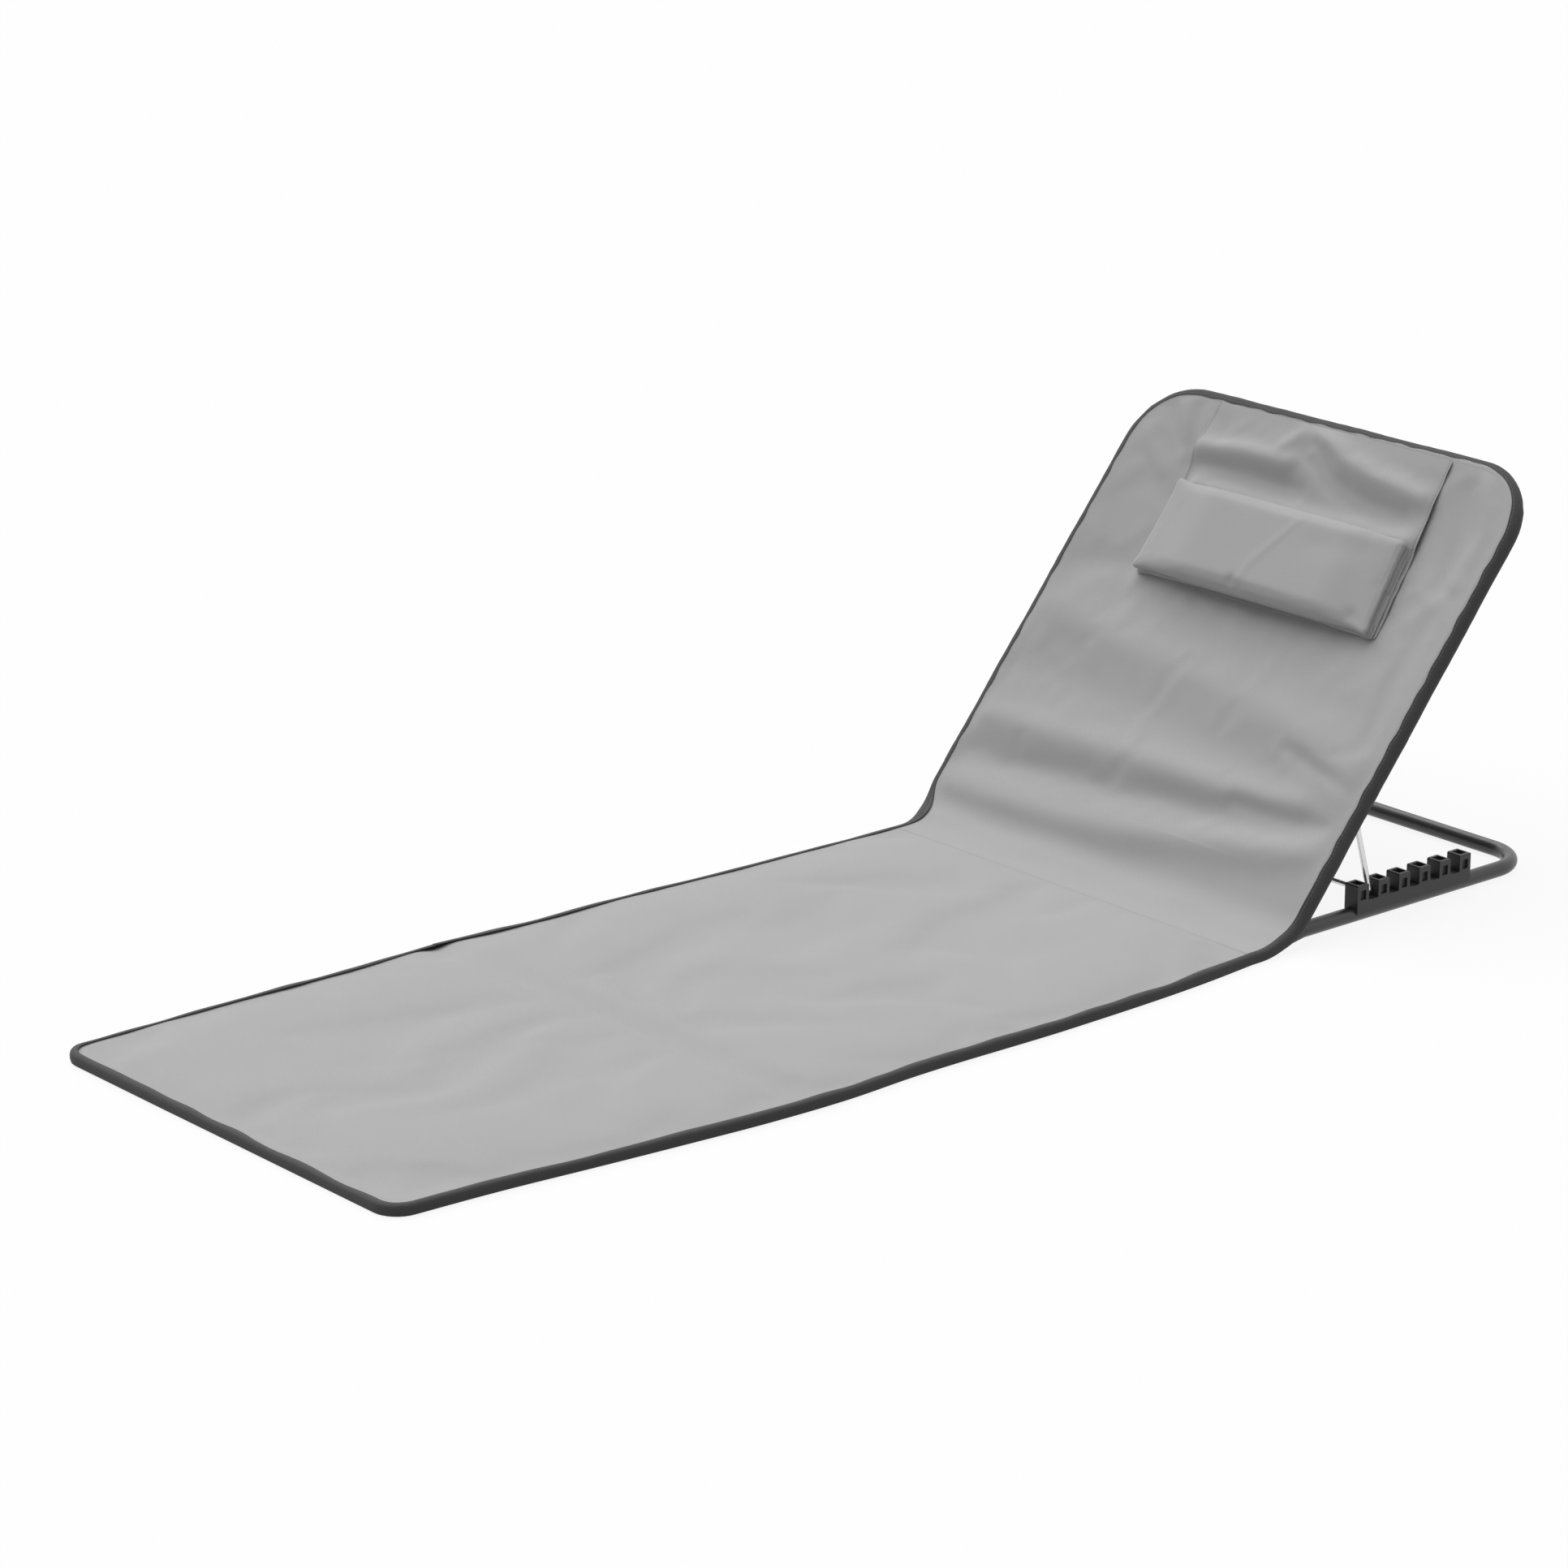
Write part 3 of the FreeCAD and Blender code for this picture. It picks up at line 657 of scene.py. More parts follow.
def bend_with_mat(piece, panel):
    """Bake the placement of a piece of the mat into its mesh, the same way for the seat and the foot panel.
    """
    if panel == "seat":
        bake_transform(piece)
    else:
        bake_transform(piece)


class RECLINER_OT_frame(bpy.types.Operator):
    """Paint the tubes, the racks, the wire and the fixings of the frame"""
    bl_idname = "recliner.frame"
    bl_label = "Frame finishes"

    def execute(self, context):
        finish = context.scene.recliner_finish
        paint = coated("Tube paint", finish.tube_paint, grain=1400, depth=0.00004, roughness=0.36,
                       metallic=0.0, scuffs=0.35, coat=0.12)
        rack = coated("Moulded rack", finish.rack, grain=1100, depth=0.00008, roughness=0.5,
                      metallic=0.0, scuffs=0.5)
        bright = coated("Bright wire", finish.wire, grain=700, depth=0.000006, roughness=0.24,
                        metallic=0.75, scuffs=0.12)
        rivet = coated("Rivet steel", finish.rivet, grain=800, depth=0.00003, roughness=0.34,
                       metallic=1.0, scuffs=0.5)
        nylon = coated("Nylon", finish.nylon, grain=900, depth=0.00003, roughness=0.45,
                       metallic=0.0, scuffs=0.2)
        for material, names in ((paint, ("base_tube", "backrest_tube")), (rack, ("rack_left", "rack_right")),
                                (bright, ("prop_wire",)), (rivet, ("hinge_rivets", "rack_rivets")),
                                (nylon, ("hinge_washers", "prop_bushes"))):
            for name in names:
                node = frame["nodes"][name]
                for place in node.material_slots:
                    place.material = material
        return {"FINISHED"}


class RECLINER_OT_pads(bpy.types.Operator):
    """Make the two padded panels of the mat"""
    bl_idname = "recliner.pads"
    bl_label = "Mat pads"

    def execute(self, context):
        sizes = context.scene.recliner_mat
        for name, start, end, seed in (("seat", seat_seam_x, crease_x, 3), ("foot", crease_x, None, 7)):
            piece, x, y, near, far, row, column = panel_of(name + "_pad", start, end, sizes, pad_inset)
            z = mat_height(x, y, near, far, sizes, end is None)
            spots = np.stack([x, y, 0 * x], axis=1)
            held_edge = (column == 0) | (column == column.max()) | (row == 0) | (row == row.max())
            swell = 0.6 * ripple(spots, 0.16, seed) + 0.4 * ripple(spots, 0.06, seed + 4)
            near_line = np.minimum(np.abs(x - crease_x), np.abs(x - seat_seam_x))
            calm = 1 - np.exp(-near_line / 0.03)
            z = z + np.where(held_edge, 0, sizes.ripple * swell * calm)
            move_points(piece, np.stack([x, y, z], axis=1))
            face_out(piece, (0, 0, 1))
            inside = np.minimum(y - near, far - y)
            if end is None:
                inside = np.minimum(inside, x - foot_end_x - pad_inset)
            free = ease_between(inside, 0.004, 0.03) * ease_between(near_line, 0.0, 0.025)
            settle(piece, np.where(held_edge, 1.0, 0.06), free, growth=0.006, frames=18,
                   stiffness=12, bending=0.6, limit=0.0022)
            self.close(piece)
            dress(piece, "light_cloth")
            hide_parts(name + "_top_cloth", name + "_foam")
            bend_with_mat(piece, name)
        return {"FINISHED"}

    def close(self, piece):
        """Close the pad below: its sides and its flat underside."""
        top = len(piece.data.vertices)
        above_floor = 0.0014
        thicken(piece, 0.01)
        spots = points_of(piece)
        spots[top:, :2] = spots[:top, :2]
        spots[top:, 2] = above_floor
        move_points(piece, spots)
        soften(piece)


class RECLINER_OT_undersides(bpy.types.Operator):
    """Make the dark cloth under the mat"""
    bl_idname = "recliner.undersides"
    bl_label = "Mat undersides"

    def execute(self, context):
        sizes = context.scene.recliner_mat
        for name, start, end in (("seat", seat_seam_x, crease_x), ("foot", crease_x, None)):
            piece, x, y, near, far, *_ = panel_of(name + "_underside", start, end, sizes, underside_inset)
            spots = np.stack([x, y, 0 * x], axis=1)
            slack = 0.5 * ripple(spots, 0.12, 51) + 0.5 * ripple(spots, 0.035, 53)
            move_points(piece, np.stack([x, y, 0.0006 + 0.0006 * np.clip(slack, -1, 1)], axis=1))
            face_out(piece, (0, 0, -1))
            finish_sheet(piece, "dark_cloth", underside_thickness)
            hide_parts(name + "_bottom_cloth")
            bend_with_mat(piece, name)
        return {"FINISHED"}


def tape(name, route, outward, upward, section):
    """Tape along a route: its section is a list of (outward, upward), plain or as arrays along the route."""
    piece, row, column = cloth_grid(name, len(route), len(section))
    out = np.array([spot[0] + np.zeros(len(route)) for spot in section]).T
    up = np.array([spot[1] + np.zeros(len(route)) for spot in section]).T
    core = route + outward * np.mean(out, axis=1)[:, None] + upward * np.mean(up, axis=1)[:, None]
    spots = route[row] + outward[row] * out[row, column][:, None] + upward[row] * up[row, column][:, None]
    steps = np.concatenate([[0], np.cumsum(np.linalg.norm(np.diff(route, axis=0), axis=1))])
    across = np.hypot(np.diff(np.mean(out, axis=0)), np.diff(np.mean(up, axis=0)))
    rise = np.concatenate([[0], np.cumsum(across)])
    move_points(piece, spots)
    lay_cloth(piece, rise[column], steps[row], (rise[column], steps[row]))
    normals = np.empty(len(spots) * 3)
    piece.data.vertices.foreach_get("normal", normals)
    if np.sum(normals.reshape(-1, 3) * (spots - core[row])) < 0:
        turn_over(piece)
    return piece, steps[-1], rise[-1]


def side_normals(route):
    """Unit vectors square to a level route, to its right."""
    along = np.gradient(route, axis=0)
    side = np.stack([along[:, 1], -along[:, 0], 0 * along[:, 0]], axis=1)
    return side / np.linalg.norm(side, axis=1, keepdims=True)


def join_pieces(pieces, name):
    """Make one piece of several."""
    bpy.ops.object.select_all(action="DESELECT")
    for piece in pieces:
        piece.select_set(True)
    bpy.context.view_layer.objects.active = pieces[0]
    if len(pieces) > 1:
        bpy.ops.object.join()
    pieces[0].name = name
    pieces[0].data.name = name
    return pieces[0]


def edge_section(sizes, wave, slow):
    """Section of the tape over the edge of the pad: wave and slow make it uneven along its length."""
    top = sizes.edge + 0.0014 + 0.0010 * wave + 0.0008 * slow
    lap = 0.0048 + 0.0018 * wave
    bulge = 0.0024 + 0.0006 * slow
    return [(-lap, top + 0.0005), (-0.5 * lap, top + 0.0008), (0.2 * bulge, top + 0.0001),
            (0.8 * bulge, 0.86 * top), (bulge, 0.6 * top), (0.95 * bulge, 0.35 * top),
            (0.6 * bulge, 0.1 * top), (0 * lap, 0.0001 + 0 * top), (-0.6 * lap, 0 * top), (-lap, 0 * top)]


class RECLINER_OT_bindings(bpy.types.Operator):
    """Make the dark binding round the mat"""
    bl_idname = "recliner.bindings"
    bl_label = "Mat bindings"

    def make(self, name, route, sizes, seed):
        """One run of binding."""
        upward = np.tile([0.0, 0.0, 1.0], (len(route), 1))
        calm = ease_between(np.abs(route[:, 0] - seat_seam_x), 0.0, 0.04)
        section = edge_section(sizes, calm * ripple(route, 0.05, seed), calm * ripple(route, 0.16, seed + 3))
        return tape(name, route, side_normals(route), upward, section)

    def execute(self, context):
        sizes = context.scene.recliner_mat
        step = 0.005
        rows = mat_rows(seat_seam_x, crease_x, step, sizes.corner, 0)
        near, far = mat_sides(rows, binding_inset, sizes.corner)
        runs = []
        for x, side, seed in ((rows[::-1], near[::-1], 11), (rows, far, 13)):
            runs.append(self.make("run", np.stack([x, side, 0 * x], axis=1), sizes, seed))
        length = sum(run[1] for run in runs)
        self.close([run[0] for run in runs], "seat_edge_binding", length, runs[0][2], "seat")
        rows = mat_rows(crease_x, None, step, sizes.corner, binding_inset)
        near, far = mat_sides(rows, binding_inset, sizes.corner)
        end_y = np.linspace(far[-1], near[-1], int(abs(far[-1] - near[-1]) / step))[1:-1]
        x = np.concatenate([rows, 0 * end_y + rows[-1], rows[::-1]])
        y = np.concatenate([far, end_y, near[::-1]])
        piece, length, width = self.make("run", np.stack([x, y, 0 * x], axis=1), sizes, 17)
        self.close([piece], "foot_edge_binding", length, width, "foot")
        return {"FINISHED"}

    def close(self, runs, name, length, width, panel):
        """Thicken the runs and make them one piece."""
        piece = join_pieces(runs, name)
        thicken(piece, tape_thickness)
        spots = points_of(piece)
        spots[:, 2] = np.maximum(spots[:, 2], 0)
        move_points(piece, spots)
        soften(piece, 60)
        dress(piece, "dark_cloth")
        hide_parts(panel + "_binding")
        bend_with_mat(piece, panel)


# Folds of the front cloth: run as (across, up), height and half width
front_folds = [
    ([(0.262, 0.037), (0.200, 0.036), (0.070, 0.040), (-0.080, 0.058), (-0.235, 0.084)], 0.0063, 0.021),
    ([(0.250, 0.078), (0.200, 0.078), (0.070, 0.087), (-0.080, 0.098), (-0.240, 0.113)], -0.0058, 0.017),
    ([(0.250, 0.122), (0.040, 0.128), (-0.100, 0.126), (-0.200, 0.132)], 0.0056, 0.019),
    ([(-0.120, 0.116), (-0.190, 0.118), (-0.247, 0.121)], -0.0032, 0.006),
    ([(0.250, 0.188), (0.050, 0.178), (-0.100, 0.163), (-0.200, 0.151)], -0.0026, 0.026),
    ([(0.255, 0.262), (0.080, 0.242), (-0.060, 0.226), (-0.180, 0.202), (-0.250, 0.178)], 0.0054, 0.030),
    ([(-0.150, 0.187), (-0.205, 0.174), (-0.258, 0.162)], -0.0032, 0.007),
    ([(0.250, 0.318), (0.185, 0.330)], -0.0024, 0.018),
    ([(0.236, 0.513), (0.192, 0.471)], -0.0028, 0.007),
    ([(0.216, 0.518), (0.186, 0.468)], 0.0022, 0.006),
    ([(0.196, 0.519), (0.176, 0.453)], -0.0026, 0.007),
    ([(0.252, 0.480), (0.205, 0.440)], 0.0018, 0.008),
    ([(-0.215, 0.519), (-0.236, 0.490), (-0.248, 0.458), (-0.246, 0.405)], 0.0026, 0.010),
    ([(-0.200, 0.505), (-0.218, 0.460), (-0.224, 0.400)], -0.0030, 0.012),
    ([(-0.236, 0.360), (-0.232, 0.280), (-0.246, 0.215)], -0.0024, 0.011),
]


def seam_at(u, v, sizes):
    """Where the sleeve begins round the tube: further out on the right side, and uneven along the tube."""
    spread = math.radians(12) * np.clip(u / 0.2, -1, 1)
    along = u - np.sign(u) * (rail_reach - v)
    uneven = math.radians(5.5) * np.sin(47 * along) * np.sin(171 * along + 0.6)
    return sizes.seam_angle + spread + uneven


def cover_rows(start, step, corner, inset):
    """Rows of the backrest cover: how far up each is and half its width there."""
    shoulder = rail_reach - corner
    straight = np.linspace(start, shoulder, int(round((shoulder - start) / step)) + 1)
    turn = np.linspace(0, math.pi / 2, 17)[1:]
    v = np.concatenate([straight, shoulder + (corner - inset) * np.sin(turn)])
    half = np.concatenate([0 * straight + rail_y - inset, rail_y - corner + (corner - inset) * np.cos(turn)])
    return v, half


def cover_folds(u, v, half):
    """Folds of the cover, which run on over the hinge strip and end at the tube and at the bend."""
    reach = np.maximum(np.minimum(half - np.abs(u), rail_reach - v), 0)
    return fold_height(u, v, front_folds) * (1 - np.exp(-reach / 0.016)) * ease_between(v, -0.012, 0.016)


def front_height(u, v, half, sizes):
    """How far the front cloth lies out from the plane of the tube."""
    lip = sizes.wrap * math.sin(lift_off)
    share = np.clip(1 - (u / half) ** 2, 0, 1)
    along = ease_between(v, 0.10, 0.37) * ease_between(v, rail_reach, 0.41)
    return lip - sizes.sag * share * along + cover_folds(u, v, half)


class RECLINER_OT_front(bpy.types.Operator):
    """Make the front cloth of the backrest"""
    bl_idname = "recliner.front"
    bl_label = "Backrest front cloth"

    def execute(self, context):
        sizes = context.scene.recliner_backrest
        inset = -sizes.wrap * math.cos(lift_off)
        v_rows, half_rows = cover_rows(sizes.cover_start, sizes.spacing, sizes.corner, inset)
        columns = int(round(2 * rail_y / sizes.spacing)) + 1
        piece, row, column = cloth_grid("backrest_front", len(v_rows), columns)
        v, half = v_rows[row], half_rows[row]
        u = half * (2 * column / (columns - 1) - 1)
        off = front_height(u, v, half, sizes)
        move_points(piece, leaning(u, v, off))
        lay_cloth(piece, u, v)
        face_out(piece, out_back)
        rim = (column == 0) | (column == columns - 1) | (row == 0) | (row == len(v_rows) - 1)
        behind_half, behind_low = 0.15, 0.335
        covered = (np.abs(u) < behind_half) & (v > behind_low)
        reach = np.minimum(half - np.abs(u), np.minimum(v_rows[-1] - v, v - v_rows[0]))
        free = ease_between(reach, 0, 0.02) * np.where(covered, 0, 1)
        settle(piece, np.where(rim | covered, 1.0, 0.12), free, growth=0.006, frames=22,
               stiffness=15, bending=0.6, limit=0.0007)
        edge = np.flatnonzero(rim & ((row > 0) | (column == 0) | (column == columns - 1)))
        self.roll_edge(piece, edge, u[edge], v[edge], sizes)
        finish_with(piece, "SUBSURF", levels=1, render_levels=1)
        finish_sheet(piece, "light_cloth", front_thickness)
        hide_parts("backrest_front_cloth")
        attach(piece, "backrest")
        return {"FINISHED"}

    def roll_edge(self, piece, ring, u, v, sizes):
        """Extrude the sides and the top of the cloth over the tube as far as the sleeve."""
        shoulder_u, shoulder_v = rail_y - sizes.corner, rail_reach - sizes.corner
        side_u, side_v = np.sign(u) * np.maximum(np.abs(u) - shoulder_u, 0), np.maximum(v - shoulder_v, 0)
        on_top = (np.abs(u) < shoulder_u - 1e-6) & (v > shoulder_v)
        side_u = np.where(on_top, 0, side_u)
        side_u = np.where(v < shoulder_v, np.sign(u), side_u)
        long = np.maximum(np.hypot(side_u, side_v), 1e-9)
        side_u, side_v = side_u / long, side_v / long
        inset = -sizes.wrap * math.cos(lift_off)
        middle_u, middle_v = u + side_u * inset, v + side_v * inset
        tuck = 0.06
        for step in (1, 2, 3):
            angle = lift_off + (seam_at(u, v, sizes) - tuck - lift_off) * step / 3
            before = points_of(piece)
            marked = np.zeros(len(before), dtype=bool)
            marked[ring] = True
            choose(piece, "EDGE", lambda edge: marked[edge.vertices[0]] and marked[edge.vertices[1]])
            bpy.ops.mesh.extrude_edges_indiv()
            leave_edit()
            after = points_of(piece)
            place = {tuple(np.round(before[i], 6)): k for k, i in enumerate(ring)}
            grown = np.empty(len(ring), dtype=int)
            for i in range(len(before), len(after)):
                grown[place[tuple(np.round(after[i], 6))]] = i
            out = sizes.wrap * np.cos(angle)
            after[grown] = leaning(middle_u + side_u * out, middle_v + side_v * out,
                                   sizes.wrap * np.sin(angle))
            move_points(piece, after)
            ring = grown
        across, up, _ = from_leaning(points_of(piece))
        lay_cloth(piece, across, up)


# Folds of the rear cloth, the same on both sides
rear_folds = [
    ([(0.246, 0.176), (0.190, 0.215), (0.110, 0.240)], -0.0026, 0.012),
    ([(0.246, 0.136), (0.200, 0.110), (0.130, 0.095)], -0.0022, 0.011),
    ([(0.225, 0.505), (0.190, 0.450), (0.175, 0.390)], -0.0026, 0.012),
    ([(0.190, 0.518), (0.160, 0.470)], 0.0018, 0.009),
]


class RECLINER_OT_rear(bpy.types.Operator):
    """Make the dark cloth behind the backrest, cut out for the legs of the prop"""
    bl_idname = "recliner.rear"
    bl_label = "Backrest rear cloth"

    def execute(self, context):
        sizes = context.scene.recliner_backrest
        # The slots for the legs of the prop: where they begin to the sides, and their lower and upper ends
        slot_y = rail_y - 0.0197
        slot = (0.1385, 0.1725)
        hollow = 0.0085
        v_rows, half_rows = cover_rows(sizes.cover_start, 0.009, sizes.corner, 0.001)
        for end in slot:
            v_rows[np.argmin(np.abs(v_rows - end))] = end
        across = np.linspace(-1, 1, 61)
        for start in (-slot_y / rail_y, slot_y / rail_y):
            across[np.argmin(np.abs(across - start))] = start
        piece, row, column = cloth_grid("backrest_rear", len(v_rows), len(across))
        v, half = v_rows[row], half_rows[row]
        u = half * across[column]
        share = 1 - (u / half) ** 2
        along = ease_between(v, 0.05, 0.2) * ease_between(v, rail_reach, 0.42)
        spots = np.stack([u, v, 0 * u], axis=1)
        slack = 0.0020 * ripple(spots, 0.07, 21) + 0.0028 * ripple(spots, 0.18, 25)
        near_tube = 1 - np.exp(-np.maximum(np.minimum(half - np.abs(u), rail_reach - v), 0) / 0.012)
        folds = fold_height(np.abs(u), v, rear_folds) * near_tube
        off = -sizes.wrap - (hollow + slack) * share * along + folds
        move_points(piece, leaning(u, v, off))
        lay_cloth(piece, u, v)

        def in_slot(face):
            middle = np.mean([spots[i] for i in face.vertices], axis=0)
            return abs(middle[0]) > slot_y and slot[0] < middle[1] < slot[1]

        choose(piece, "FACE", in_slot)
        bpy.ops.mesh.delete(type="FACE")
        leave_edit()
        face_out(piece, -out_back)
        finish_sheet(piece, "dark_cloth", rear_thickness)
        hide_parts("backrest_rear_cloth")
        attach(piece, "backrest")
        return {"FINISHED"}


class RECLINER_OT_sleeve(bpy.types.Operator):
    """Make the dark sleeve round the tube of the backrest"""
    bl_idname = "recliner.sleeve"
    bl_label = "Backrest sleeve"

    def execute(self, context):
        sizes = context.scene.recliner_backrest
        v_side, half_side = cover_rows(sizes.cover_start, 0.006, sizes.corner, 0)
        top = np.linspace(half_side[-1], -half_side[-1], 66)[1:-1]
        u = np.concatenate([half_side, top, -half_side[::-1]])
        v = np.concatenate([v_side, 0 * top + v_side[-1], v_side[::-1]])
        flat = np.stack([u, v, 0 * u], axis=1)
        along = np.gradient(flat, axis=0)
        side = np.stack([along[:, 1], -along[:, 0]], axis=1)
        side = side / np.linalg.norm(side, axis=1, keepdims=True)
        middle = np.array([0, 0.3])
        if np.sum(side * (flat[:, :2] - middle)) < 0:
            side = -side
        outward = side[:, :1] * np.array([0, 1, 0]) + side[:, 1:] * up_back
        upward = np.tile(out_back, (len(u), 1))
        turn = np.clip((v - rail_reach + sizes.corner) / sizes.corner, 0, 1) * (np.abs(u) > half_side[-1])
        ruck = 0.00035 + 0.0007 * np.sin(math.pi * turn) ** 2
        pulled = ruck * ripple(flat, 0.011, 31) + 0.0005 * ripple(flat, 0.06, 33)
        section = []
        rear_edge = math.radians(-100)
        for share in np.linspace(0, 1, 17):
            angle = seam_at(u, v, sizes) * (1 - share) + rear_edge * share
            reach = sizes.wrap + 0.0005 + np.maximum(pulled * np.cos(angle / 1.4), -0.0003)
            section.append((reach * np.cos(angle), reach * np.sin(angle)))
        piece, length, width = tape("backrest_sleeve", leaning(u, v, 0 * u), outward, upward, section)
        finish_sheet(piece, "dark_cloth", sleeve_thickness, 60)
        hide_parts("backrest_edge_sleeve")
        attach(piece, "backrest")
        return {"FINISHED"}


def strip_line(sizes, cover):
    """Profile of the hinge strip as x, z and its normal, from the seat seam up to the lower cover seam."""
    lip = cover.wrap * math.sin(lift_off)

    def on_back(v):
        spot = leaning(0, np.array([v]), np.array([lip]))[0]
        return np.array([spot[0], spot[2]])

    corners = [np.array([seat_seam_x, sizes.strip_level]),
               np.array([hinge.x - strip_bend, sizes.strip_level + 0.0003]),
               on_back(0.013), on_back(cover.cover_start)]
    spots = [corners[0]]
    reach = 0.014
    for before, corner, after in zip(corners, corners[1:], corners[2:]):
        start = corner + (before - corner) / np.linalg.norm(before - corner) * reach
        end = corner + (after - corner) / np.linalg.norm(after - corner) * reach
        for t in np.linspace(0, 1, 9):
            spots.append(start * (1 - t) ** 2 + 2 * corner * t * (1 - t) + end * t * t)
    spots.append(corners[-1])
    line = np.array(spots)
    steps = np.concatenate([[0], np.cumsum(np.linalg.norm(np.diff(line, axis=0), axis=1))])
    even = np.linspace(0, steps[-1], 33)
    line = np.stack([np.interp(even, steps, line[:, 0]), np.interp(even, steps, line[:, 1])], axis=1)
    along = np.gradient(line, axis=0)
    along = along / np.linalg.norm(along, axis=1, keepdims=True)
    normal = np.stack([-along[:, 1], along[:, 0]], axis=1)
    return line, normal, even


class RECLINER_OT_strip(bpy.types.Operator):
    """Make the hinge strip between the seat and the backrest, with its bound edges"""
    bl_idname = "recliner.strip"
    bl_label = "Hinge strip"

    def execute(self, context):
        sizes = context.scene.recliner_mat
        cover = context.scene.recliner_backrest
        line, normal, even = strip_line(sizes, cover)
        part = even / even[-1]
        start_near, start_far = mat_sides(np.array([seat_seam_x]), binding_inset, sizes.corner)
        ends = seam_at(np.array([-rail_y, rail_y]), cover.cover_start, cover)
        climb = ease_between(part, 0.05, 0.8)
        near = start_near[0] + (-rail_y - start_near[0]) * climb
        far = start_far[0] + (rail_y - start_far[0]) * climb
        under_tape = 0.003
        sheet_near = near - cover.wrap * math.cos(ends[0]) * climb + under_tape * (1 - climb)
        sheet_far = far + cover.wrap * math.cos(ends[1]) * climb - under_tape * (1 - climb)
        middle = int(np.argmin(np.abs(line[:, 0] - (hinge.x - strip_bend))))
        columns = 69
        for name, rows in (("lower", np.arange(0, middle + 1)), ("upper", np.arange(middle, len(line)))):
            piece, row, column = cloth_grid("hinge_strip_" + name, len(rows), columns)
            k = rows[row]
            y = sheet_near[k] + (sheet_far[k] - sheet_near[k]) * column / (columns - 1)
            swell = 0.0013 * ripple(np.stack([2.5 * line[k, 0], y, 0 * y], axis=1), 0.07, 41)
            swell = swell * np.sin(math.pi * part[k]) ** 0.5
            climbed = (line[k, 0] - hinge.x) * math.cos(lean) + (line[k, 1] - hinge.z) * math.sin(lean)
            swell = swell + cover_folds(y, climbed, rail_y + cover.wrap * math.cos(lift_off))
            x, z = (line[k, axis] + normal[k, axis] * swell for axis in (0, 1))
            move_points(piece, np.stack([x, y, z], axis=1))
            lay_cloth(piece, y, even[k])
            face_out(piece, (-0.3, 0, 1))
            finish_sheet(piece, "light_cloth", strip_thickness)
            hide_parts("hinge_strip_cloth")
            self.follow(piece, name)
            self.binding(name, line[rows], normal[rows], (near[rows], far[rows]), climb[rows], ends)
        return {"FINISHED"}

    def follow(self, piece, name):
        """Bake the placement of a piece of the strip into its mesh, the same way below and above."""
        if name == "lower":
            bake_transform(piece)
        else:
            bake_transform(piece)

    def binding(self, name, line, normal, edges, climb, ends):
        """Dark tape over both edges of the strip, from the binding of the mat to the sleeve of the tube."""
        sizes = bpy.context.scene.recliner_mat
        cover = bpy.context.scene.recliner_backrest
        lip = cover.wrap * math.sin(lift_off)
        below = [(out, up - sizes.strip_level) for out, up in edge_section(sizes, 0.0, 0.0)]
        runs = []
        for edge, side, seam in zip(edges, (-1.0, 1.0), ends):
            above = []
            for angle in np.linspace(seam, math.radians(-95), len(below)):
                reach = cover.wrap + 0.0005
                above.append((reach * math.cos(angle), reach * math.sin(angle) - lip))
            section = [(a[0] + (b[0] - a[0]) * climb, a[1] + (b[1] - a[1]) * climb)
                       for a, b in zip(below, above)]
            # The far tape laps further over the cloth between the mat and the tube
            if side > 0:
                wide = 4 * climb * (1 - climb)
                section[0] = (section[0][0] - 0.009 * wide, section[0][1] + 0.0012 * wide)
                section[1] = (section[1][0] - 0.004 * wide, section[1][1] + 0.0012 * wide)
            route = np.stack([line[:, 0], edge, line[:, 1]], axis=1)
            outward = np.tile([0.0, side, 0.0], (len(line), 1))
            upward = np.stack([normal[:, 0], 0 * edge, normal[:, 1]], axis=1)
            runs.append(tape("run", route, outward, upward, section))
        piece = join_pieces([run[0] for run in runs], "hinge_strip_binding_" + name)
        finish_sheet(piece, "dark_cloth", tape_thickness, 60)
        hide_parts("hinge_strip_bindings")
        self.follow(piece, name)


# Folds of the flap between the rail and the pillow
flap_folds = [
    ([(0.160, 0.474), (0.096, 0.4815), (0.042, 0.480)], 0.0060, 0.011),
    ([(0.155, 0.4526), (0.088, 0.4560), (0.017, 0.4540)], -0.0045, 0.010),
    ([(0.0205, 0.531), (-0.001, 0.5176), (-0.037, 0.5005), (-0.086, 0.490), (-0.150, 0.481)], 0.0066, 0.012),
    ([(0.017, 0.499), (-0.020, 0.475), (-0.071, 0.4615), (-0.133, 0.4546)], -0.0048, 0.011),
    ([(0.0432, 0.5296), (0.0405, 0.5157), (0.0548, 0.498)], 0.0030, 0.008),
    ([(0.156, 0.518), (0.140, 0.490)], -0.0024, 0.008),
]


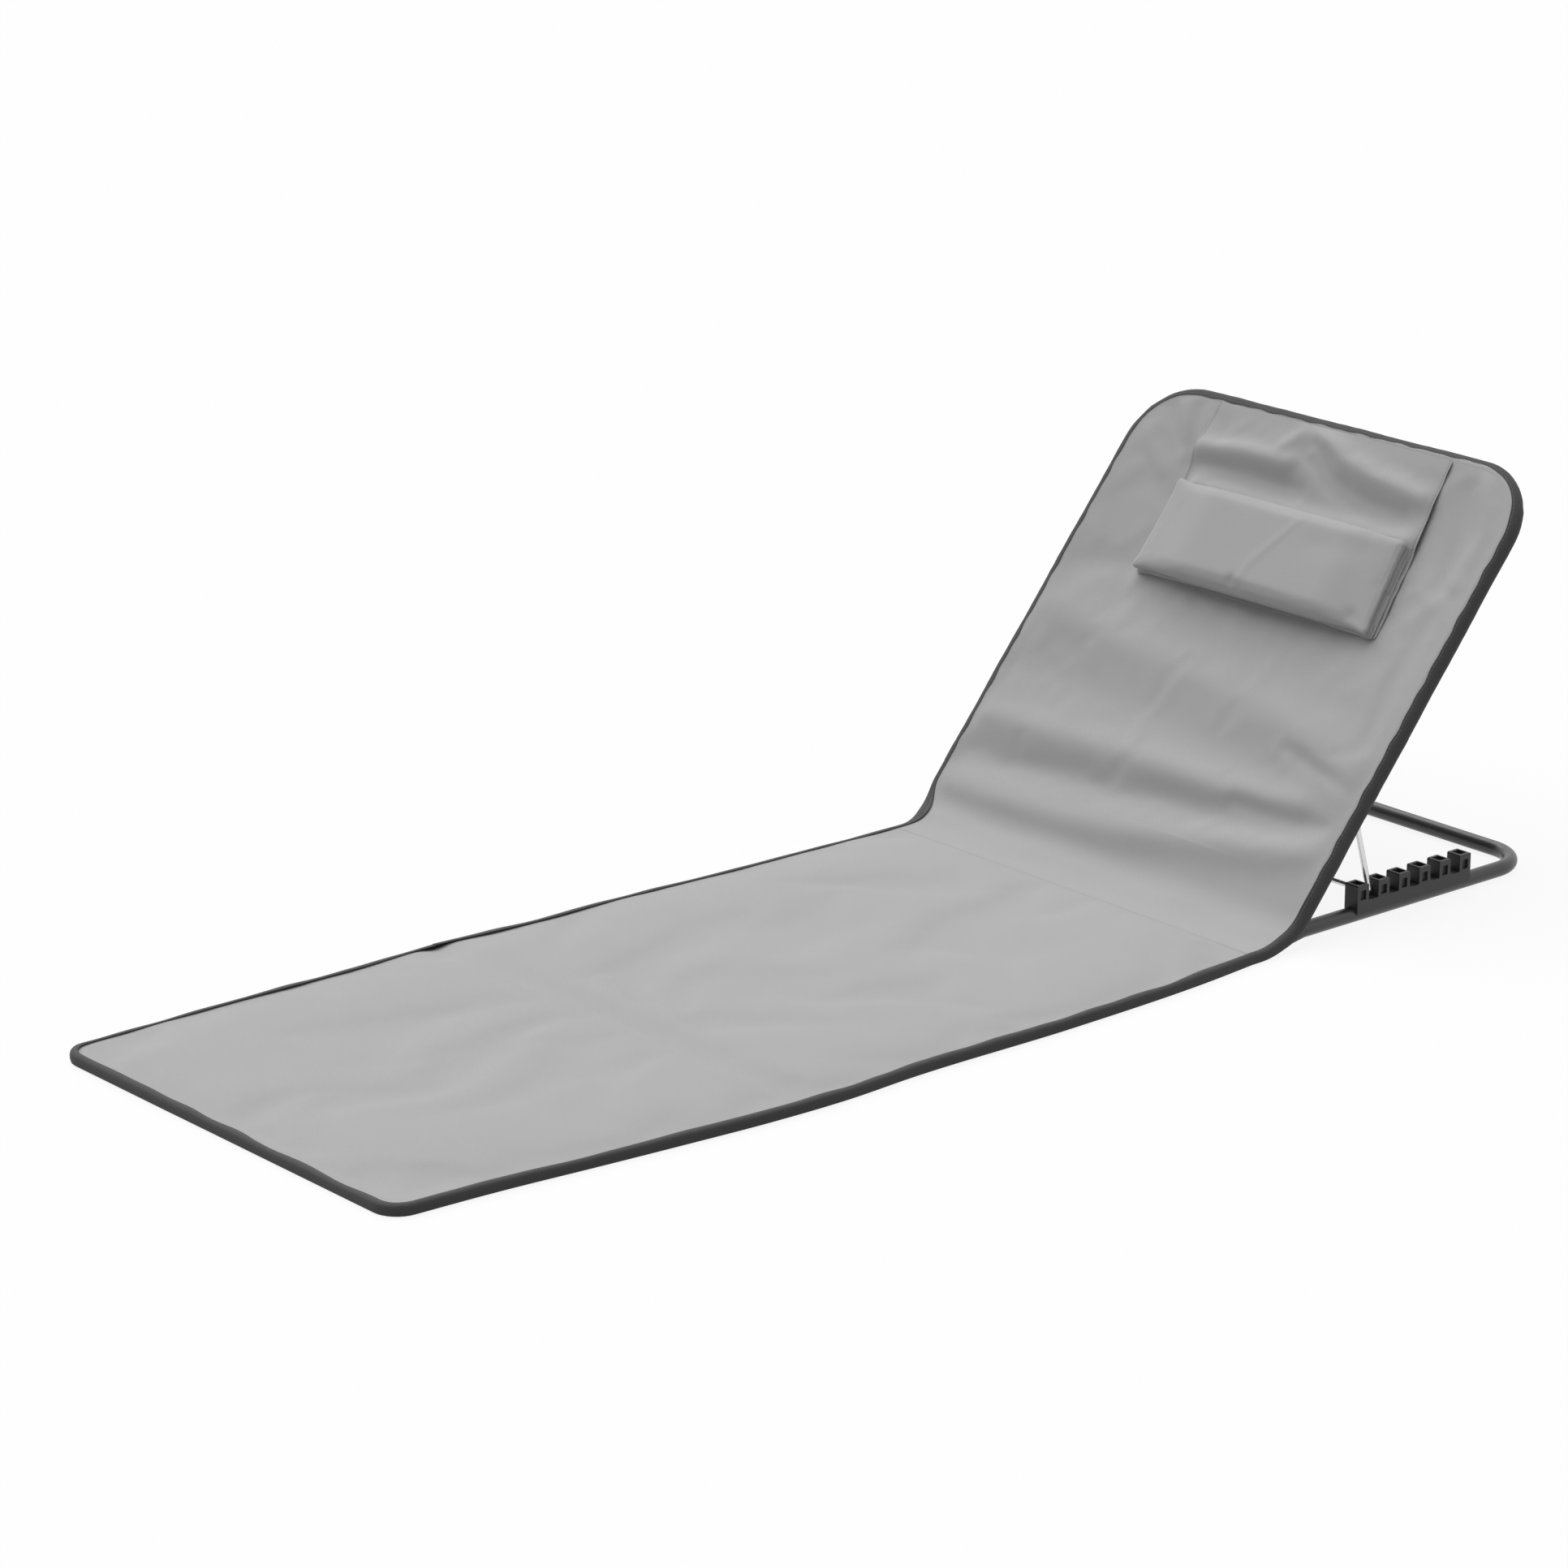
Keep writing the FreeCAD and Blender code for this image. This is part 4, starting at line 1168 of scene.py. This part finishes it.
def flap_height(u, v, cover, pillow):
    """How far the flap lies out from the tube: over the rail, down to the pillow and flat under it."""
    half = np.full(len(u), rail_y)
    below = front_height(u, v, half, cover)
    pillow_top = pillow.bottom + pillow.length
    slack = fold_height(u, v, flap_folds) * ease_between(v, rail_reach, rail_reach - 0.016)
    slack = slack * ease_between(v, pillow_top - 0.006, pillow_top + 0.014)
    # The flap hangs free between the rail and the pillow, less so at its right edge
    hang = np.sin(math.pi * ease_between(v, pillow_top - 0.012, rail_reach))
    lift = 0.0024 + 0.0045 * hang + np.maximum(slack, -0.0035 * hang)
    lift = lift - 0.0030 * hang * ease_between(-u, 0.120, 0.165)
    # It rises to the upper edge of the pillow, steeply on the pillow's side
    from_edge = v - pillow_top + 0.002
    beside = ease_between(pillow.width / 2 - np.abs(u - pillow.shift), -0.004, 0.014)
    skirt = 0.011 * np.exp(-(from_edge / np.where(from_edge > 0, 0.015, 0.005)) ** 2) * beside
    return below + lift + skirt


class RECLINER_OT_flap(bpy.types.Operator):
    """Make the flap that carries the pillow"""
    bl_idname = "recliner.flap"
    bl_label = "Pillow flap"

    def execute(self, context):
        cover = context.scene.recliner_backrest
        pillow = context.scene.recliner_pillow
        low, high = pillow.bottom + 0.003, rail_reach - 0.0022
        rows, columns = 42, 63
        piece, row, column = cloth_grid("pillow_flap", rows, columns)
        share = row / (rows - 1)
        v = high - (high - low) * row / (rows - 1)
        # Both side edges are drawn in a little halfway down, and the right one runs outwards
        drawn_in = 0.002 * np.sin(math.pi * share)
        right = 0.5 * pillow.flap_width - 0.005 + 0.015 * share - drawn_in
        left = 0.5 * pillow.flap_width - drawn_in
        u = -right + (left + right) * column / (columns - 1)
        move_points(piece, leaning(u, v, flap_height(u, v, cover, pillow)))
        lay_cloth(piece, u, v, (np.minimum(u + right, left - u), v))
        face_out(piece, out_back)
        margin = 0.004
        hidden = (np.abs(u - pillow.shift) < pillow.width / 2 - margin)
        hidden = hidden & (v < pillow.bottom + pillow.length - margin)
        held = np.where((row == 0) | hidden, 1.0, 0.08)
        free = ease_between(high - v, 0.004, 0.03)
        settle(piece, held, free, growth=0.007, frames=22, stiffness=12, bending=0.5, limit=0.0014)
        self.keep_clear(piece, cover)
        finish_with(piece, "SUBSURF", levels=1, render_levels=1)
        finish_sheet(piece, "light_cloth", flap_thickness)
        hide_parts("pillow_flap_sheet")
        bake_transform(piece)
        return {"FINISHED"}

    def keep_clear(self, piece, cover):
        """Keep the flap in front of the cloth behind it."""
        u, v, off = from_leaning(points_of(piece))
        least = front_height(u, v, np.full(len(u), rail_y), cover) + 0.0018
        move_points(piece, leaning(u, v, np.maximum(off, least)))


class RECLINER_OT_pillow(bpy.types.Operator):
    """Make the stuffed pillow on the flap"""
    bl_idname = "recliner.pillow"
    bl_label = "Pillow"
    seam_level = 0.004

    def execute(self, context):
        cover = context.scene.recliner_backrest
        sizes = context.scene.recliner_pillow
        bpy.ops.object.select_all(action="DESELECT")
        bpy.ops.mesh.primitive_cube_add(size=1)
        piece = bpy.context.object
        piece.name = "pillow_cushion"
        piece.data.name = "pillow_cushion"
        swell_room = 0.003
        core = (sizes.width, sizes.length, sizes.height - swell_room)
        bpy.ops.object.mode_set(mode="EDIT")
        bpy.ops.mesh.select_all(action="SELECT")
        bpy.ops.transform.resize(value=core)
        bpy.ops.mesh.bevel(offset=0.003, segments=2, affect="EDGES")
        bpy.ops.object.mode_set(mode="OBJECT")
        finish_with(piece, "REMESH", mode="VOXEL", voxel_size=0.0033)
        self.stuff(piece)
        finish_with(piece, "SUBSURF", levels=1, render_levels=1)
        spots = self.sew(points_of(piece), sizes)
        u, v = spots[:, 0] + sizes.shift, spots[:, 1] + sizes.bottom + sizes.length / 2
        base = flap_height(u, np.clip(v, sizes.bottom, rail_reach), cover, sizes) + 0.0006
        middle = flap_height(np.zeros(1), np.array([sizes.bottom + sizes.length / 2]), cover, sizes)[0]
        off = np.maximum(middle + sizes.height / 2 - 0.002 + spots[:, 2], base)
        move_points(piece, leaning(u, v, off))
        self.pattern(piece, u, v, off, np.abs(spots[:, 2] + self.seam_level))
        soften(piece, 60)
        dress(piece, "light_cloth")
        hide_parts("pillow_cover", "pillow_foam")
        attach(piece, "pillow")
        return {"FINISHED"}

    def stuff(self, piece):
        """Blow the pillow up by simulation."""
        start = points_of(piece)
        simulate(piece, 20, quality=5, mass=0.3, tension_stiffness=18, compression_stiffness=18,
                 shear_stiffness=8, bending_stiffness=0.4, use_pressure=True, uniform_pressure_force=1.5,
                 shrink_min=-0.008)
        hold_back(piece, start, 1.0, 0.0022)

    def sew(self, spots, sizes):
        """Pinch the seam round the sides, and add the pull lines and the tucked corner."""
        half_u, half_v = sizes.width / 2, sizes.length / 2
        # Draw the sides in towards the top, and the lower side also below its seam
        rise = np.clip(spots[:, 2] / sizes.height + 0.5, 0, 1)
        drawn = rise ** 1.5
        right = 0.985 - 0.035 * np.clip(spots[:, 1] / half_v, -1, 1)
        spots[:, 0] = spots[:, 0] * np.where(spots[:, 0] < 0, right, 1.02) * (1.015 - 0.03 * drawn)
        seam_share = 0.42
        above = np.clip((rise - seam_share) / (1 - seam_share), 0, 1)
        below = np.clip((seam_share - rise) / seam_share, 0, 1)
        lower = 0.935 - 0.035 * above ** 2 - 0.025 * below ** 1.5
        spots[:, 1] = spots[:, 1] * np.where(spots[:, 1] > 0, 1.03 - 0.05 * drawn, lower)
        # Lower the ends, and draw the corners out to small ears
        low = 1 - 0.30 * ease_between(np.abs(spots[:, 0]), 0.55 * half_u, half_u)
        spots[:, 2] = (spots[:, 2] + sizes.height / 2) * low - sizes.height / 2
        corner = np.hypot(np.abs(spots[:, 0]) - half_u, np.abs(spots[:, 1]) - half_v)
        ear = 0.0034 * np.exp(-(corner / 0.010) ** 2)
        spots[:, :2] = spots[:, :2] + np.sign(spots[:, :2]) * ear[:, None]
        # Pinch the seam, deeper on the lower side
        u, v, w = spots[:, 0], spots[:, 1], spots[:, 2]
        side = np.maximum(ease_between(np.abs(u), half_u - 0.014, half_u - 0.005),
                          ease_between(np.abs(v), half_v - 0.014, half_v - 0.005))
        depth = np.where(v < 0, 0.0040, 0.0022)
        pinch = depth * np.exp(-((w + self.seam_level) / 0.0038) ** 2) * side
        away = np.stack([np.clip(np.abs(u) - half_u + 0.02, 0, 1) * np.sign(u),
                         np.clip(np.abs(v) - half_v + 0.02, 0, 1) * np.sign(v)], axis=1)
        away = away / np.maximum(np.linalg.norm(away, axis=1, keepdims=True), 1e-9)
        spots[:, :2] = spots[:, :2] - away * pinch[:, None]
        # Pull lines and tucks on the top
        top = ease_between(w, 0.004, 0.012)
        lines = [([(-0.030, 0.044), (0.006, -0.018), (0.012, -0.046)], 0.0007, 0.006),
                 ([(0.010, -0.050), (0.020, -0.042)], -0.0026, 0.006),
                 ([(-0.158, -0.046), (-0.146, -0.041)], -0.0030, 0.008),
                 ([(0.14, 0.02), (0.10, -0.03)], -0.0010, 0.014),
                 ([(-0.06, 0.02), (-0.12, 0.03)], -0.0012, 0.016)]
        spots[:, 2] = w + fold_height(u, v, lines) * top
        return spots

    def pattern(self, piece, u, v, off, from_seam):
        """Lay the weave on the pillow face by face, along its longest sides, and stitches along its seam."""
        flat = np.empty((len(piece.data.loops), 2), dtype=np.float32)
        hem = np.ones((len(piece.data.loops), 2), dtype=np.float32)
        _, up, out = from_leaning(np.array([face.normal for face in piece.data.polygons])
                                  + np.array([hinge.x, 0, hinge.z]))
        for face, rise, level in zip(piece.data.polygons, up, out):
            for corner in face.loop_indices:
                i = piece.data.loops[corner].vertex_index
                if abs(level) > 0.7:
                    flat[corner] = (u[i], v[i])
                    continue
                flat[corner] = (u[i], off[i]) if abs(rise) > 0.6 else (off[i], v[i])
                hem[corner] = (from_seam[i], u[i] if abs(rise) > 0.6 else v[i])
        for name, values in (("Cut", flat), ("Hem", hem)):
            piece.data.uv_layers.new(name=name)
            piece.data.uv_layers[name].data.foreach_set("uv", values.ravel())


class RECLINER_OT_stage(bpy.types.Operator):
    """Set the floor, the light and the camera"""
    bl_idname = "recliner.stage"
    bl_label = "Studio"
    floor_glow = 1.114
    glow_share = 0.80

    def execute(self, context):
        scene = context.scene
        studio = scene.recliner_studio
        self.floor(scene.recliner_finish.floor)
        self.sky(scene, studio.fill)
        for name, aim, power, spread in (("Key light", studio.key_from, studio.key, 75),
                                         ("Rim light", (0.5, -0.9, 0.9), 0.06 * studio.key, 60)):
            data = bpy.data.lights.new(name, "SUN")
            data.energy = power
            data.angle = math.radians(spread)
            lamp = bpy.data.objects.new(name, data)
            scene.collection.objects.link(lamp)
            lamp.location = 3 * Vector(aim)
            lamp.rotation_euler = (-Vector(aim)).to_track_quat("-Z", "Y").to_euler()
        camera = bpy.data.objects.new("Camera", bpy.data.cameras.new("Camera"))
        scene.collection.objects.link(camera)
        camera.data.sensor_width = 36
        camera.data.lens = studio.lens
        camera.location = studio.place
        camera.rotation_euler = (math.pi / 2 - studio.tilt, 0, studio.turn)
        scene.camera = camera
        scene.view_settings.view_transform = "Standard"
        return {"FINISHED"}

    def looked_at(self, tree):
        """1 where the camera, a reflection or clear material looks, 0 where a surface only gives light."""
        path = tree.nodes.new("ShaderNodeLightPath")
        total = path.outputs["Is Camera Ray"]
        for ray in ("Is Glossy Ray", "Is Transmission Ray"):
            total = maths(tree, "MAXIMUM", total, path.outputs[ray])
        return total

    def put_out(self, tree, share, lit, seen, output):
        """Put out what gives light, and what is seen by its share."""
        mix = tree.nodes.new("ShaderNodeMixShader")
        for place, socket in enumerate((share, lit, seen)):
            tree.links.new(socket, mix.inputs[place])
        tree.links.new(mix.outputs[0], tree.nodes[output].inputs["Surface"])

    def floor(self, colour):
        """Pale floor that keeps the shadow of the object."""
        bpy.ops.object.select_all(action="DESELECT")
        bpy.ops.mesh.primitive_plane_add(size=40, location=(0, 0, -0.0005))
        plane = bpy.context.object
        plane.name = "Floor"
        material, tree, shader = node_tree("Pale floor")
        shader.inputs["Base Color"].default_value = colour
        shader.inputs["Roughness"].default_value = 0.9
        shader.inputs["Specular IOR Level"].default_value = 0.1
        glow = tree.nodes.new("ShaderNodeEmission")
        glow.inputs["Strength"].default_value = self.floor_glow
        share = maths(tree, "MULTIPLY", self.looked_at(tree), self.glow_share)
        self.put_out(tree, share, shader.outputs[0], glow.outputs[0], "Material Output")
        plane.data.materials.append(material)

    def sky(self, scene, strength):
        """Even light all round, and white where the camera or a reflection sees it."""
        world = bpy.data.worlds.new("Studio")
        scene.world = world
        world.use_nodes = True
        tree = world.node_tree
        even = tree.nodes["Background"]
        even.inputs["Strength"].default_value = strength
        even.inputs["Color"].default_value = (1, 1, 1, 1)
        white = tree.nodes.new("ShaderNodeBackground")
        white.inputs["Color"].default_value = (1, 1, 1, 1)
        self.put_out(tree, self.looked_at(tree), even.outputs[0], white.outputs[0], "World Output")


operators = (RECLINER_OT_frame, RECLINER_OT_pads, RECLINER_OT_undersides, RECLINER_OT_bindings,
             RECLINER_OT_front, RECLINER_OT_rear, RECLINER_OT_sleeve, RECLINER_OT_strip, RECLINER_OT_flap,
             RECLINER_OT_pillow, RECLINER_OT_stage)


class RECLINER_PT_panel(bpy.types.Panel):
    """Steps of the recliner, in order"""
    bl_idname = "RECLINER_PT_panel"
    bl_label = "Folding floor recliner"
    bl_space_type = "VIEW_3D"
    bl_region_type = "UI"
    bl_category = "Recliner"

    def draw(self, context):
        for step in operators:
            self.layout.operator(step.bl_idname)


settings = {"recliner_mat": ReclinerMat, "recliner_backrest": ReclinerBackrest,
            "recliner_pillow": ReclinerPillow, "recliner_finish": ReclinerFinish,
            "recliner_studio": ReclinerStudio}


def register():
    """Register the settings, the steps and the panel."""
    for name, group in settings.items():
        bpy.utils.register_class(group)
        setattr(bpy.types.Scene, name, PointerProperty(type=group))
    for step in operators:
        bpy.utils.register_class(step)
    bpy.utils.register_class(RECLINER_PT_panel)


def unregister():
    """Take them away again."""
    bpy.utils.unregister_class(RECLINER_PT_panel)
    for step in reversed(operators):
        bpy.utils.unregister_class(step)
    for name, group in settings.items():
        delattr(bpy.types.Scene, name)
        bpy.utils.unregister_class(group)


def main():
    """Make every piece in order."""
    register()
    for step in operators:
        family, name = step.bl_idname.split(".")
        getattr(getattr(bpy.ops, family), name)()


if __name__ == "__main__":
    main()
